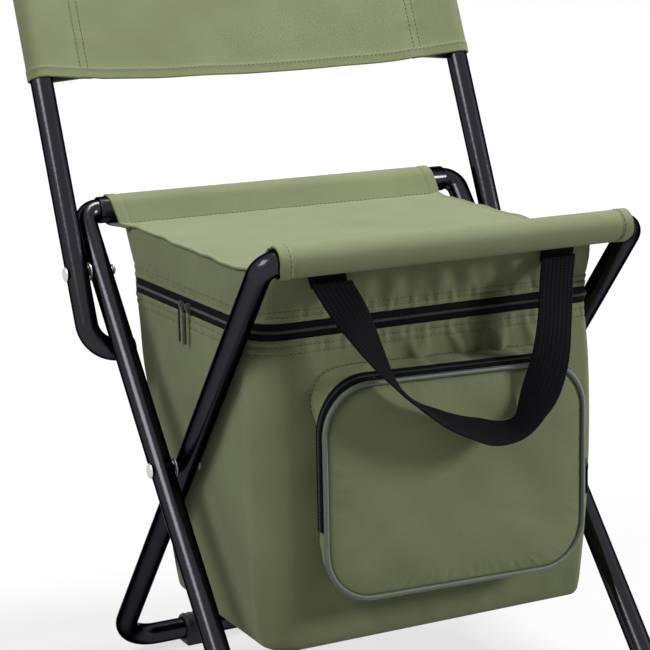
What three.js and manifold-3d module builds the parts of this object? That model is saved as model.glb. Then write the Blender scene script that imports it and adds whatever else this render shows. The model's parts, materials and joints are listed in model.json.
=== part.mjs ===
// Folding cooler stool with a backrest. Two bent tube frames cross on rivets, a cloth seat is
// stretched between their top rails, a cooler bag hangs under the seat, and the backrest swings
// on the outer legs. Millimetres, +Z up, the front of the stool towards -Y.
import * as THREE from 'three';
import { mergeVertices } from 'three/addons/utils/BufferGeometryUtils.js';
import Module from 'manifold-3d';

const wasm = await Module();
wasm.setup();

// Driving dimensions of the leg frames
const tubeDiameter = 16;
const tubeWall = 1;
const railDiameter = 19;
const legSpan = 304;
const legAngle = 39.8;
const pivotToRail = 204;
const pivotToFloor = 222;
const topBend = 11;
const footBend = 30;
const stubLength = 37;
const fitGap = 0.3;
const weldDistance = 1e-4;

// Driving dimensions of the foot clips
const footDrop = 4;
const footWall = 2.6;
const footLength = 22;
const footSpread = 144;
const footSole = 17;
const footShoulder = 20;

// Driving dimensions of the rivets and washers
const rivetDiameter = 5;
const rivetHeadDiameter = 10.4;
const rivetHeadHeight = 2.2;
const rivetTailDiameter = 8;
const rivetTailHeight = 2.2;
const washerDiameter = 13;
const washerThickness = 0.8;

// Driving dimensions of the backrest
const backLean = 23;
const backPivotBelowRail = 49;
const backHeight = 318;
const backBend = 28;
const hookBend = 20;
const hookReach = 9;
const plugFlange = 1.6;
const plugDepth = 6;
const backClothBottom = 141;
const backClothTopGap = 2;
const backStitchInset = 29;
const backClothBow = 6;
const backClothWrap = 110;

// Driving dimensions of the seat cloth
const clothThickness = 1.4;
const seatRearMargin = 9;
const seatFrontOver = 2;
const seatDrawIn = 5;
const seatRearDrop = 8;
const seatFrontDrop = 13;
const seatRise = 53;
const seatLeave = 40;
const sleeveClose = 25;

// Driving dimensions of the cooler bag
const zipBelowRail = 53;
const bagSideGap = 7.6;
const zipFront = 92;
const zipRear = 118;
const tubDepth = 212;
const bagBottomTaper = 2;
const bagBottomFront = 94;
const bagBottomRear = 66;
const bellyRise = 102;
const bellyFront = 100;
const bellyRear = 91;
const bellyBulge = 4;
const bandFlare = 4;
const bandRailGap = 5;
const bagCorner = 22;
const bagHemRound = 5;
const tapeHeight = 6.4;
const tapeEndGap = 1.8;
const foamThickness = 4;
const linerThickness = 0.8;
const boardThickness = 2.5;
const lidFoamThickness = 5;
const lidFoamMargin = 7;

// Driving dimensions of the front pocket
const pocketCentre = 7;
const pocketWidth = 196;
const pocketRise = 38;
const pocketHeight = 140;
const pocketCorner = 26;
const pocketDepth = 17;
const gussetRise = 15;
const gussetSeat = 1;
const pocketTape = 6;
const pipingDiameter = 4;
const pocketCrown = 5;
const pocketCrownInset = 24;
const pocketZipRise = 40;

// Driving dimensions of the zip sliders, their pulls and the handle
const sliderLength = 9;
const sliderHeight = 9;
const sliderThickness = 2.6;
const sliderNose = 4.5;
const sliderTail = 6;
const sliderShoulder = 2.25;
const bailDiameter = 1.7;
const bailStand = 2;
const pullLength = 15;
const pullThickness = 1.4;
const pullWidth = 3.4;
const pullEye = 4;
const pullNeck = 45;
const sliderSpacing = 10;
const sliderPlace = 16;
const pocketSliderRise = 66;
const strapWidth = 25;
const strapThickness = 1.8;
const strapSwingDrop = 19;
const strapSwingGap = 0.95;
const strapInset = 43;
const loopStand = 6;
const loopDrop = 106;

// Places along the hanging loop as shares: of half the spread of its ends, of the way out to the
// pocket's front, and of its drop
const loopLeftLeg = [-0.8, 0.45, 0.3];
const loopTwist = [-0.51, 0.95, 0.66];
const loopLowLeft = [-0.12, 1, 0.87];
const loopLowest = [0.32, 1, 1];
const loopBend = [0.67, 1, 0.96];
const loopElbow = [0.87, 0.95, 0.735];
const loopRightLeg = [0.945, 0.5, 0.33];

// Counts that set the fineness of the facets
const tubeSides = 16;
const bendSteps = 5;
const ringSides = 24;
const cornerSteps = 4;
const sideSteps = 4;
const bandSteps = 20;
const seatSteps = 12;
const arcSteps = 8;
const domeSteps = 3;
const strapSteps = 30;

// Places worked out from the driving dimensions
const degree = Math.PI / 180;
const tubeRadius = tubeDiameter / 2;
const railRadius = railDiameter / 2;
const legSin = Math.sin(legAngle * degree);
const legCos = Math.cos(legAngle * degree);
const sidePitch = tubeDiameter + washerThickness + 2 * fitGap;
const outerX = legSpan / 2;
const innerX = outerX - sidePitch;
const backX = outerX + sidePitch;
const floorZ = tubeRadius + footDrop;
const floorY = pivotToFloor * legSin;
const pivotZ = floorZ + pivotToFloor * legCos;
const railY = pivotToRail * legSin;
const railZ = pivotZ + pivotToRail * legCos;
const backPivotY = (pivotToRail - backPivotBelowRail) * legSin;
const backPivotZ = pivotZ + (pivotToRail - backPivotBelowRail) * legCos;
const sleeveBore = railRadius + fitGap;
const sleeveOuter = sleeveBore + clothThickness;
const xAxis = new THREE.Vector3(1, 0, 0);
const yAxis = new THREE.Vector3(0, 1, 0);
const zAxis = new THREE.Vector3(0, 0, 1);
const sides = [['left', -1], ['right', 1]];
const model = new THREE.Group();

// Finishes: each call gives a mesh its own material
const blackPaint = () => new THREE.MeshStandardMaterial({ color: 0x14141a, roughness: 0.25, metalness: 0.4 });
const brightSteel = () => new THREE.MeshStandardMaterial({ color: 0xb8bac0, roughness: 0.3, metalness: 0.9 });
const blackPlastic = () => new THREE.MeshStandardMaterial({ color: 0x17171a, roughness: 0.5, metalness: 0 });
const oliveCloth = () => new THREE.MeshStandardMaterial({ color: 0x6f7a4a, roughness: 0.9, metalness: 0 });
const blackTape = () => new THREE.MeshStandardMaterial({ color: 0x1a1b1c, roughness: 0.8, metalness: 0 });
const blackWebbing = () => new THREE.MeshStandardMaterial({ color: 0x1c1c1e, roughness: 0.85, metalness: 0 });
const blackMetal = () => new THREE.MeshStandardMaterial({ color: 0x18181a, roughness: 0.4, metalness: 0.5 });
const greyPiping = () => new THREE.MeshStandardMaterial({ color: 0x4a5548, roughness: 0.7, metalness: 0 });
const whiteFoam = () => new THREE.MeshStandardMaterial({ color: 0xe8e8e4, roughness: 0.95, metalness: 0 });
const silverLiner = () => new THREE.MeshStandardMaterial({ color: 0xc4c8cc, roughness: 0.35, metalness: 0.7 });
const greyBoard = () => new THREE.MeshStandardMaterial({ color: 0x7d7d7a, roughness: 0.8, metalness: 0 });

function piece(name, geometry, material, parent = model) {
  const mesh = new THREE.Mesh(geometry, material);
  mesh.name = name;
  parent.add(mesh);
  return mesh;
}

// Joins and cuts between closed solids
function toSolid(geometry) {
  const bare = geometry.clone();
  bare.deleteAttribute('normal');
  bare.deleteAttribute('uv');
  const merged = mergeVertices(bare, weldDistance);
  return new wasm.Manifold(new wasm.Mesh({
    numProp: 3,
    vertProperties: Float32Array.from(merged.attributes.position.array),
    triVerts: Uint32Array.from(merged.index.array),
  }));
}

function fromSolid(solid) {
  const mesh = solid.getMesh();
  const geometry = new THREE.BufferGeometry();
  geometry.setAttribute('position', new THREE.BufferAttribute(mesh.vertProperties, 3));
  geometry.setIndex(new THREE.BufferAttribute(mesh.triVerts, 1));
  geometry.computeVertexNormals();
  return geometry;
}

function cut(geometry, ...tools) {
  return fromSolid(tools.reduce((solid, tool) => solid.subtract(toSolid(tool)), toSolid(geometry)));
}

function join(geometry, ...others) {
  return fromSolid(others.reduce((solid, other) => solid.add(toSolid(other)), toSolid(geometry)));
}

// Closed surface through rings of equal count. The rings close into a loop, or end in two caps.
function skin(rings, loop = false) {
  const count = rings[0].length;
  const points = rings.flat();
  const faces = [];
  const spans = loop ? rings.length : rings.length - 1;
  for (let r = 0; r < spans; r += 1) {
    const here = r * count;
    const there = ((r + 1) % rings.length) * count;
    for (let k = 0; k < count; k += 1) {
      const next = (k + 1) % count;
      faces.push([here + k, here + next, there + next], [here + k, there + next, there + k]);
    }
  }
  if (!loop) {
    [0, rings.length - 1].forEach((r) => {
      const centre = rings[r].reduce((sum, p) => sum.add(p), new THREE.Vector3()).divideScalar(count);
      points.push(centre);
      for (let k = 0; k < count; k += 1) {
        const edge = [r * count + k, r * count + (k + 1) % count];
        faces.push(r === 0 ? [edge[1], edge[0], points.length - 1] : [edge[0], edge[1], points.length - 1]);
      }
    });
  }
  const volume = faces.reduce((sum, [a, b, c]) => {
    const cross = new THREE.Vector3().crossVectors(points[b], points[c]);
    return sum + points[a].dot(cross);
  }, 0);
  const facing = volume < 0 ? faces.map(([a, b, c]) => [a, c, b]) : faces;
  const geometry = new THREE.BufferGeometry().setFromPoints(points);
  geometry.setIndex(facing.flat());
  geometry.computeVertexNormals();
  return geometry;
}

// Route of a bent tube that lies in one plane: straight runs joined by arcs at the corners.
// The section is placed only at the ends and along the bends.
class BentRoute extends THREE.Curve {
  constructor(corners, radii) {
    super();
    this.points = [corners[0].clone()];
    this.tangents = [corners[1].clone().sub(corners[0]).normalize()];
    for (let i = 1; i < corners.length - 1; i += 1) {
      const into = corners[i].clone().sub(corners[i - 1]).normalize();
      const out = corners[i + 1].clone().sub(corners[i]).normalize();
      const turn = into.angleTo(out);
      const side = out.clone().addScaledVector(into, -into.dot(out)).normalize();
      const start = corners[i].clone().addScaledVector(into, -radii[i - 1] * Math.tan(turn / 2));
      for (let s = 0; s <= bendSteps; s += 1) {
        const angle = turn * s / bendSteps;
        const point = start.clone().addScaledVector(into, radii[i - 1] * Math.sin(angle));
        this.points.push(point.addScaledVector(side, radii[i - 1] * (1 - Math.cos(angle))));
        const along = into.clone().multiplyScalar(Math.cos(angle));
        this.tangents.push(along.addScaledVector(side, Math.sin(angle)));
      }
    }
    this.points.push(corners[corners.length - 1].clone());
    this.tangents.push(this.tangents[this.tangents.length - 1].clone());
    const first = corners[1].clone().sub(corners[0]);
    this.across = first.cross(corners[2].clone().sub(corners[1])).normalize();
  }

  getSpacedPoints() {
    return this.points;
  }

  computeFrenetFrames() {
    return {
      tangents: this.tangents,
      normals: this.tangents.map((t) => new THREE.Vector3().crossVectors(this.across, t)),
      binormals: this.tangents.map(() => this.across.clone()),
    };
  }
}

// Round outline with flats on the axes, as points
function roundPoints(radius, sides) {
  return Array.from({ length: sides }, (_, k) => {
    const angle = (k + 0.5) * 2 * Math.PI / sides;
    return new THREE.Vector2(radius * Math.cos(angle), radius * Math.sin(angle));
  });
}

function ringShape(outer, bore, sides) {
  const shape = new THREE.Shape(roundPoints(outer, sides));
  shape.holes.push(new THREE.Path(roundPoints(bore, sides)));
  return shape;
}

function bentTube(corners, radii) {
  const route = new BentRoute(corners, radii);
  const section = ringShape(tubeRadius, tubeRadius - tubeWall, tubeSides);
  return new THREE.ExtrudeGeometry(section, { extrudePath: route, steps: route.points.length - 1 });
}

function extruded(shape, depth) {
  return new THREE.ExtrudeGeometry(shape, { depth, bevelEnabled: false, curveSegments: arcSteps });
}

// A shape drawn in (y, z) and carried along X, centred on the YZ plane
function alongX(shape, length) {
  const turn = new THREE.Matrix4().makeBasis(yAxis, zAxis, xAxis);
  return extruded(shape, length).applyMatrix4(turn).translate(-length / 2, 0, 0);
}

// A round bar along X
function pinX(radius, length, x, y, z) {
  const geometry = new THREE.CylinderGeometry(radius, radius, length, ringSides / 2);
  return geometry.rotateZ(Math.PI / 2).translate(x, y, z);
}

// A profile of (radius, distance) pairs turned about an axis that runs outwards along X
function turnedX(profile, side) {
  const points = profile.map(([radius, along]) => new THREE.Vector2(radius, along));
  return new THREE.LatheGeometry(points, ringSides / 2).rotateZ(-side * Math.PI / 2);
}

// Leg frames: each tube runs from its rail down one leg, along the floor and up the other leg
const rivetRadius = rivetDiameter / 2;
const rivetHole = rivetRadius + fitGap;

function legFrame(x, railPlace, floorPlace) {
  const stub = x - topBend - stubLength;
  const corners = [
    new THREE.Vector3(-stub, railPlace, railZ),
    new THREE.Vector3(-x, railPlace, railZ),
    new THREE.Vector3(-x, floorPlace, floorZ),
    new THREE.Vector3(x, floorPlace, floorZ),
    new THREE.Vector3(x, railPlace, railZ),
    new THREE.Vector3(stub, railPlace, railZ),
  ];
  return bentTube(corners, [topBend, footBend, footBend, topBend]);
}

function rivetDrill(x, y, z) {
  return pinX(rivetHole, 2 * (x + tubeDiameter), 0, y, z);
}

function rail(x, place) {
  const length = 2 * (x - topBend - fitGap);
  const section = ringShape(railRadius, tubeRadius + fitGap, tubeSides);
  return alongX(section, length).translate(0, place, railZ);
}

const crossDrill = rivetDrill(outerX, 0, pivotZ);
const backDrill = rivetDrill(backX, backPivotY, backPivotZ);
piece('outer_leg_frame', cut(legFrame(outerX, railY, -floorY), crossDrill, backDrill), blackPaint());
piece('inner_leg_frame', cut(legFrame(innerX, -railY, floorY), crossDrill), blackPaint());
piece('rear_rail', rail(outerX, railY), blackPaint());
piece('front_rail', rail(innerX, -railY), blackPaint());

// Foot clips: a sleeve on the floor bar with a flat sole under it
function footClip() {
  const outer = tubeRadius + footWall;
  const shape = new THREE.Shape();
  shape.absarc(0, 0, outer, -footShoulder * degree, Math.PI + footShoulder * degree);
  shape.lineTo(-footSole / 2, -floorZ);
  shape.lineTo(footSole / 2, -floorZ);
  shape.holes.push(new THREE.Path(roundPoints(tubeRadius + fitGap, tubeSides)));
  return alongX(shape, footLength);
}

sides.forEach(([word, side]) => {
  const x = side * footSpread / 2;
  piece(`front_foot_${word}`, footClip().translate(x, -floorY, floorZ), blackPlastic());
  piece(`rear_foot_${word}`, footClip().translate(x, floorY, floorZ), blackPlastic());
});

// Rivets: a domed head outside, a shank through both tubes and a peened tail inside
function rivet(grip, side) {
  const head = rivetHeadDiameter / 2;
  const tail = rivetTailDiameter / 2;
  const under = -fitGap;
  const over = grip + fitGap;
  const dome = Array.from({ length: domeSteps }, (_, k) => {
    const angle = k * Math.PI / 2 / domeSteps;
    return [head * Math.cos(angle), over + rivetHeadHeight * Math.sin(angle)];
  });
  const profile = [
    [0, under - rivetTailHeight],
    [rivetRadius, under - rivetTailHeight],
    [tail, under - rivetTailHeight / 2],
    [tail, under],
    [rivetRadius, under],
    [rivetRadius, over],
    ...dome,
    [0, over + rivetHeadHeight],
  ];
  return turnedX(profile, side);
}

function washer() {
  return alongX(ringShape(washerDiameter / 2, rivetHole, ringSides / 2), washerThickness);
}

const grip = sidePitch + tubeDiameter;
const washerPlace = tubeRadius + fitGap + washerThickness / 2;
sides.forEach(([word, side]) => {
  const crossStart = side * (innerX - tubeRadius);
  const backStart = side * (outerX - tubeRadius);
  const crossRivet = rivet(grip, side).translate(crossStart, 0, pivotZ);
  const backRivet = rivet(grip, side).translate(backStart, backPivotY, backPivotZ);
  piece(`cross_rivet_${word}`, crossRivet, brightSteel());
  piece(`backrest_rivet_${word}`, backRivet, brightSteel());
  const crossGap = side * (innerX + washerPlace);
  const backGap = side * (outerX + washerPlace);
  piece(`cross_washer_${word}`, washer().translate(crossGap, 0, pivotZ), brightSteel());
  piece(`backrest_washer_${word}`, washer().translate(backGap, backPivotY, backPivotZ), brightSteel());
});

// Backrest: drawn upright about its rivets, then leaned back. Its lower ends turn in behind the
// outer legs and rest on them.
const hookDrop = (tubeDiameter + fitGap) / Math.sin((legAngle - backLean) * degree);
const hookEnd = backX - hookBend - hookReach;
const lean = new THREE.Matrix4().makeRotationX(-backLean * degree);
lean.setPosition(0, backPivotY, backPivotZ);

function backTube() {
  const corners = [
    new THREE.Vector3(-hookEnd, 0, -hookDrop),
    new THREE.Vector3(-backX, 0, -hookDrop),
    new THREE.Vector3(-backX, 0, backHeight),
    new THREE.Vector3(backX, 0, backHeight),
    new THREE.Vector3(backX, 0, -hookDrop),
    new THREE.Vector3(hookEnd, 0, -hookDrop),
  ];
  return bentTube(corners, [hookBend, backBend, backBend, hookBend]);
}

// The plug closes the open end of a hook with a flange and a spigot
function hookPlug(side) {
  const spigot = tubeRadius - tubeWall - fitGap;
  const profile = [
    [0, -plugFlange],
    [tubeRadius, -plugFlange],
    [tubeRadius, 0],
    [spigot, 0],
    [spigot, plugDepth],
    [0, plugDepth],
  ];
  return turnedX(profile, side).translate(side * (hookEnd - fitGap), 0, -hookDrop);
}

// Backrest cloth seen from above: a band between two teardrop sleeves round the tubes
function backCloth() {
  const bore = tubeRadius + fitGap;
  const outer = bore + clothThickness;
  const stitch = backX - backStitchInset;
  const wrap = backClothWrap * degree;
  const height = backHeight - backBend - backClothTopGap - backClothBottom;
  const shape = new THREE.Shape();
  shape.absarc(backX, 0, outer, -wrap, wrap);
  shape.lineTo(stitch, clothThickness);
  shape.quadraticCurveTo(0, clothThickness + 2 * backClothBow, -stitch, clothThickness);
  shape.absarc(-backX, 0, outer, Math.PI - wrap, Math.PI + wrap);
  shape.lineTo(-stitch, -clothThickness);
  shape.quadraticCurveTo(0, -clothThickness + 2 * backClothBow, stitch, -clothThickness);
  [-backX, backX].forEach((x) => {
    const hole = roundPoints(bore, tubeSides).map((p) => new THREE.Vector2(p.x + x, p.y));
    shape.holes.push(new THREE.Path(hole));
  });
  return extruded(shape, height).translate(0, 0, backClothBottom);
}

piece('backrest_frame', cut(backTube().applyMatrix4(lean), backDrill), blackPaint());
piece('backrest_cloth', backCloth().applyMatrix4(lean), oliveCloth());
sides.forEach(([word, side]) => {
  piece(`hook_plug_${word}`, hookPlug(side).applyMatrix4(lean), blackPlastic());
});

// Seat cloth: a sling between the rails, with a sleeve round each of them
const seatRearHalf = outerX - topBend - seatRearMargin;
const seatFrontHalf = innerX - topBend + seatFrontOver;
const seatFrontEdge = -railY + sleeveOuter;

// The sheet leaves the rear sleeve below the rail's middle, sinks a little towards the front and
// climbs to the front sleeve
function seatTop(y) {
  const behind = y + railY;
  const leaveY = sleeveOuter * Math.sin(seatLeave * degree);
  const leaveZ = sleeveOuter * Math.cos(seatLeave * degree);
  const back = THREE.MathUtils.clamp(behind / (2 * railY), 0, 1);
  const low = -THREE.MathUtils.lerp(seatFrontDrop, seatRearDrop, back);
  const climb = 1 - THREE.MathUtils.clamp((behind - leaveY) / seatRise, 0, 1);
  return railZ + low + (leaveZ - low) * climb ** 2;
}

function seatUnder(y) {
  return seatTop(y) - clothThickness;
}

function seatHalf(y) {
  const forward = THREE.MathUtils.clamp((railY - y) / (2 * railY), 0, 1);
  const plain = THREE.MathUtils.lerp(seatRearHalf, seatFrontHalf, forward);
  return plain - seatDrawIn * Math.sin(Math.PI * forward);
}

// Bore of a sleeve, where the rail goes through
function sleeveHole(y) {
  const hole = roundPoints(sleeveBore, ringSides).map((p) => new THREE.Vector2(p.x + y, p.y + railZ));
  return new THREE.Path(hole);
}

function drawnIn(geometry, half) {
  const place = geometry.attributes.position;
  for (let i = 0; i < place.count; i += 1) {
    place.setX(i, place.getX(i) * seatHalf(place.getY(i)) / half);
  }
  return geometry;
}

function seatSling() {
  const front = seatFrontEdge + fitGap;
  const joinTop = Math.asin(seatRearDrop / sleeveOuter);
  const joinUnder = Math.asin((seatRearDrop + clothThickness) / sleeveOuter);
  const rear = railY - sleeveOuter * Math.cos(joinTop);
  const station = (k) => THREE.MathUtils.lerp(front, rear, k / seatSteps);
  const stations = Array.from({ length: seatSteps }, (_, k) => station(k));
  const shape = new THREE.Shape();
  shape.moveTo(front, seatUnder(front));
  shape.lineTo(front, seatTop(front));
  stations.slice(1).forEach((y) => shape.lineTo(y, seatTop(y)));
  shape.absarc(railY, railZ, sleeveOuter, Math.PI + joinTop, joinUnder - Math.PI, true);
  stations.slice(1).reverse().forEach((y) => shape.lineTo(y, seatUnder(y)));
  shape.holes.push(sleeveHole(railY));
  return drawnIn(alongX(shape, 2 * seatRearHalf), seatRearHalf);
}

function frontSleeve() {
  const shape = new THREE.Shape();
  shape.moveTo(seatFrontEdge, seatUnder(seatFrontEdge));
  shape.lineTo(seatFrontEdge, seatTop(seatFrontEdge));
  const start = Math.PI / 2 - seatLeave * degree;
  shape.absarc(-railY, railZ, sleeveOuter, start, 2 * Math.PI + sleeveClose * degree);
  shape.holes.push(sleeveHole(-railY));
  return drawnIn(alongX(shape, 2 * seatFrontHalf), seatFrontHalf);
}

piece('seat_sling', seatSling(), oliveCloth());
piece('seat_front_sleeve', frontSleeve(), oliveCloth());

// Rounded rectangle as points, anticlockwise from the corner at (x1, y1)
function roundedOutline({ x0, x1, y0, y1, radius }, inset = 0, steps = sideSteps) {
  const bend = Math.max(radius - inset, fitGap);
  const centres = [
    [x1 - inset - bend, y1 - inset - bend],
    [x0 + inset + bend, y1 - inset - bend],
    [x0 + inset + bend, y0 + inset + bend],
    [x1 - inset - bend, y0 + inset + bend],
  ];
  const arcs = centres.map(([x, y], corner) => Array.from({ length: cornerSteps + 1 }, (_, k) => {
    const angle = (corner + k / cornerSteps) * Math.PI / 2;
    return new THREE.Vector2(x + bend * Math.cos(angle), y + bend * Math.sin(angle));
  }));
  return arcs.flatMap((arc, corner) => {
    const next = arcs[(corner + 1) % arcs.length][0];
    const last = arc[cornerSteps];
    const between = (k) => last.clone().lerp(next, (k + 1) / steps);
    return [...arc, ...Array.from({ length: steps - 1 }, (_, k) => between(k))];
  });
}

// The bag's outside at four levels: hem, belly, zip and the top of the band under the seat
const zipZ = railZ - zipBelowRail;
const zipHalf = innerX - tubeRadius - bagSideGap;
const bottomZ = zipZ - tubDepth;
const bandTop = railY - sleeveOuter - bandRailGap;
const levels = [
  { z: bottomZ, half: zipHalf - bagBottomTaper, front: bagBottomFront, rear: bagBottomRear },
  { z: bottomZ + bellyRise, half: zipHalf + bellyBulge, front: bellyFront, rear: bellyRear },
  { z: zipZ, half: zipHalf, front: zipFront, rear: zipRear },
  { z: seatUnder(0), half: zipHalf + bandFlare, front: bandTop, rear: bandTop },
];

// The bag's outline at a height, in line between the levels above and below it
function bagAt(z) {
  const upper = levels.slice(1, -1).findIndex((level) => z <= level.z) + 1 || levels.length - 1;
  const low = levels[upper - 1];
  const high = levels[upper];
  const share = THREE.MathUtils.clamp((z - low.z) / (high.z - low.z), 0, 1);
  const mix = (key) => THREE.MathUtils.lerp(low[key], high[key], share);
  return { x0: -mix('half'), x1: mix('half'), y0: -mix('front'), y1: mix('rear'), radius: bagCorner };
}

function bagRing(z, inset, height = () => z, steps = sideSteps) {
  return roundedOutline(bagAt(z), inset, steps).map((p) => new THREE.Vector3(p.x, p.y, height(p.y)));
}

// An open tub with a wall, a floor and a rounded hem, set in from the bag's outside
const tubTop = zipZ - tapeHeight - fitGap;

function tub(inset, wall, floor) {
  const base = bottomZ + floor;
  const face = (depth, lift) => [
    bagRing(base + lift, depth + bagHemRound),
    bagRing(base + lift + bagHemRound, depth),
    bagRing(bottomZ + bellyRise, depth),
    bagRing(tubTop, depth),
  ];
  return skin([...face(inset, 0), ...face(inset + wall, wall).reverse()]);
}

const foamInset = clothThickness + fitGap;
const linerInset = foamInset + foamThickness + fitGap;
const linerFloor = linerInset + boardThickness + fitGap;
const boardInset = linerInset + bagHemRound;
piece('tub_shell', tub(0, clothThickness, 0), oliveCloth());
piece('tub_foam', tub(foamInset, foamThickness, foamInset), whiteFoam());
piece('tub_liner', tub(linerInset, linerThickness, linerFloor), silverLiner());
const boardZ = bottomZ + linerInset;
const boardRings = [boardZ, boardZ + boardThickness].map((z) => bagRing(bottomZ, boardInset, () => z));
piece('base_board', skin(boardRings), greyBoard());

// Band between the seat and the zip, and the foam of the lid inside it
const bandBottom = zipZ + tapeHeight + fitGap;
const underSeat = (y) => seatUnder(y) - fitGap;
const bandEdge = () => bandBottom;
const bandRings = [
  bagRing(bandBottom, 0, bandEdge, bandSteps),
  bagRing(seatUnder(0), 0, underSeat, bandSteps),
  bagRing(seatUnder(0), clothThickness, underSeat, bandSteps),
  bagRing(bandBottom, clothThickness, bandEdge, bandSteps),
];
piece('top_band', skin(bandRings, true), oliveCloth());
const seatLowest = seatRise + sleeveOuter * Math.sin(seatLeave * degree) - railY;
const lidTop = underSeat(seatLowest);
const lidBottom = lidTop - lidFoamThickness;
const lidRings = [lidBottom, lidTop].map((z) => bagRing(lidBottom, lidFoamMargin, () => z));
piece('lid_foam', skin(lidRings), whiteFoam());

// Strips that stand on the bag's outline: the zip round the left, front and right sides, and the
// cloth hinge across the back
const sideCount = cornerSteps + sideSteps;
const rearLeft = sideCount + cornerSteps;
const outlineCount = 4 * sideCount;

function strip(first, last, low, high, endGap) {
  const outline = roundedOutline(bagAt(zipZ));
  const inner = roundedOutline(bagAt(zipZ), clothThickness);
  const rings = [];
  for (let k = first; k <= last; k += 1) {
    const atEnd = k === first || k === last;
    const shift = atEnd ? -endGap : 0;
    const [out, back] = [outline[k % outlineCount], inner[k % outlineCount]];
    rings.push([
      new THREE.Vector3(out.x, out.y + shift, low),
      new THREE.Vector3(out.x, out.y + shift, high),
      new THREE.Vector3(back.x, back.y + shift, high),
      new THREE.Vector3(back.x, back.y + shift, low),
    ]);
  }
  return skin(rings);
}

const teethGap = fitGap / 2;
piece('zip_tape_upper', strip(rearLeft, outlineCount, zipZ + teethGap, zipZ + tapeHeight, fitGap), blackTape());
const lowerTape = strip(rearLeft, outlineCount, zipZ - tapeHeight, zipZ - teethGap, tapeEndGap);
piece('zip_tape_lower', lowerTape, blackTape());
piece('rear_hinge_strip', strip(0, rearLeft, zipZ - tapeHeight, zipZ + tapeHeight, 0), oliveCloth());

// Front pocket: its outline is drawn in (x, z) at the piping. Towards the bag its top edge rises,
// so the gusset slopes.
const pocketZ = bottomZ + pocketRise;
const pocketY = -(bellyFront + pocketDepth);
const pocketBox = {
  x0: pocketCentre - pocketWidth / 2,
  x1: pocketCentre + pocketWidth / 2,
  y0: pocketZ,
  y1: pocketZ + pocketHeight,
  radius: pocketCorner,
};
const pocketZipLow = pocketZ + pocketZipRise;
const pocketOutline = roundedOutline(pocketBox);
const onZip = pocketOutline.map((p) => p.y >= pocketZipLow);

function gussetFoot(z) {
  return bagAt(z).y0 - gussetSeat;
}

// A point of the gusset at a depth y, or at its foot on the bag
function pocketPoint(p, y = null) {
  const share = y === null ? 0 : (y - gussetFoot(p.y)) / (pocketY - gussetFoot(p.y));
  const lift = THREE.MathUtils.clamp((p.y - pocketZ) / pocketHeight, 0, 1);
  const z = p.y + gussetRise * lift * lift * (1 - share);
  return new THREE.Vector3(p.x, y === null ? gussetFoot(z) : y, z);
}

// Depth of the gusset's front edge: it stops short of the pocket's zip
const gussetEdge = onZip.map((zipped) => (zipped ? pocketY + pocketTape + fitGap : pocketY));
const pocketFaces = [0, clothThickness].map((inset) => roundedOutline(pocketBox, inset));
const gussetRings = [
  pocketFaces[0].map((p) => pocketPoint(p)),
  pocketFaces[0].map((p, k) => pocketPoint(p, gussetEdge[k])),
  pocketFaces[1].map((p, k) => pocketPoint(p, gussetEdge[k])),
  pocketFaces[1].map((p) => pocketPoint(p)),
];
piece('pocket_gusset', skin(gussetRings, true), oliveCloth());

const zipFirst = onZip.findIndex((zipped, k) => zipped && !onZip.at(k - 1));
const zipStations = pocketOutline.map((_, k) => (zipFirst + k) % outlineCount).filter((k) => onZip[k]);
const pocketZip = zipStations.map((k) => [
  pocketPoint(pocketFaces[0][k], pocketY + pocketTape),
  pocketPoint(pocketFaces[0][k], pocketY),
  pocketPoint(pocketFaces[1][k], pocketY),
  pocketPoint(pocketFaces[1][k], pocketY + pocketTape),
]);
piece('pocket_zip_tape', skin(pocketZip), blackTape());

// Piping: a cord sewn round the edge of the front panel
const pipingRadius = pipingDiameter / 2;
const pipingY = pocketY - fitGap - pipingRadius;
const pipingCentre = roundedOutline(pocketBox, pipingRadius);
const pipingRings = pipingCentre.map((p, k) => {
  const outward = pocketOutline[k].clone().sub(p).normalize();
  return roundPoints(pipingRadius, tubeSides / 2).map((q) => new THREE.Vector3(
    p.x + outward.x * q.x,
    pipingY + q.y,
    p.y + outward.y * q.x,
  ));
});
piece('pocket_piping', skin(pipingRings, true), greyPiping());

// Front panel: flat at the back, crowned in front
const panelInset = pipingDiameter + fitGap;
const panelRing = (inset, y) => roundedOutline(pocketBox, inset).map((p) => new THREE.Vector3(p.x, y, p.y));
const panelEdge = pipingY - clothThickness / 2;
const panelFront = panelEdge - pocketCrown;
const panelRings = [
  panelRing(panelInset, pipingY + clothThickness / 2),
  panelRing(panelInset, panelEdge),
  panelRing(pocketCrownInset, panelFront),
];
piece('pocket_panel', skin(panelRings), oliveCloth());

// Zip slider: a shield-shaped body with a bail on it, and a pull that swings on the bail.
// Both are drawn on a zip whose outer face looks towards -X.
const bailRadius = bailDiameter / 2;
const bailX = -sliderThickness - bailStand;

function sliderBody() {
  const shape = new THREE.Shape();
  const shoulder = sliderShoulder - sliderLength / 2;
  shape.moveTo(-sliderLength / 2, -sliderNose / 2);
  shape.lineTo(shoulder, -sliderHeight / 2);
  shape.lineTo(sliderLength / 2, -sliderTail / 2);
  shape.lineTo(sliderLength / 2, sliderTail / 2);
  shape.lineTo(shoulder, sliderHeight / 2);
  shape.lineTo(-sliderLength / 2, sliderNose / 2);
  const body = alongX(shape, sliderThickness).translate(-sliderThickness / 2, 0, 0);
  const reach = bailStand + bailDiameter;
  const posts = [-1, 1].map((end) => {
    const post = new THREE.BoxGeometry(reach, bailDiameter, bailDiameter);
    return post.translate(bailX + bailRadius + fitGap, end * (sliderLength / 2 - bailDiameter), 0);
  });
  const bar = new THREE.CylinderGeometry(bailRadius, bailRadius, sliderLength - bailDiameter, tubeSides / 2);
  return join(body, ...posts, bar.translate(bailX, 0, 0));
}

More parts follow.
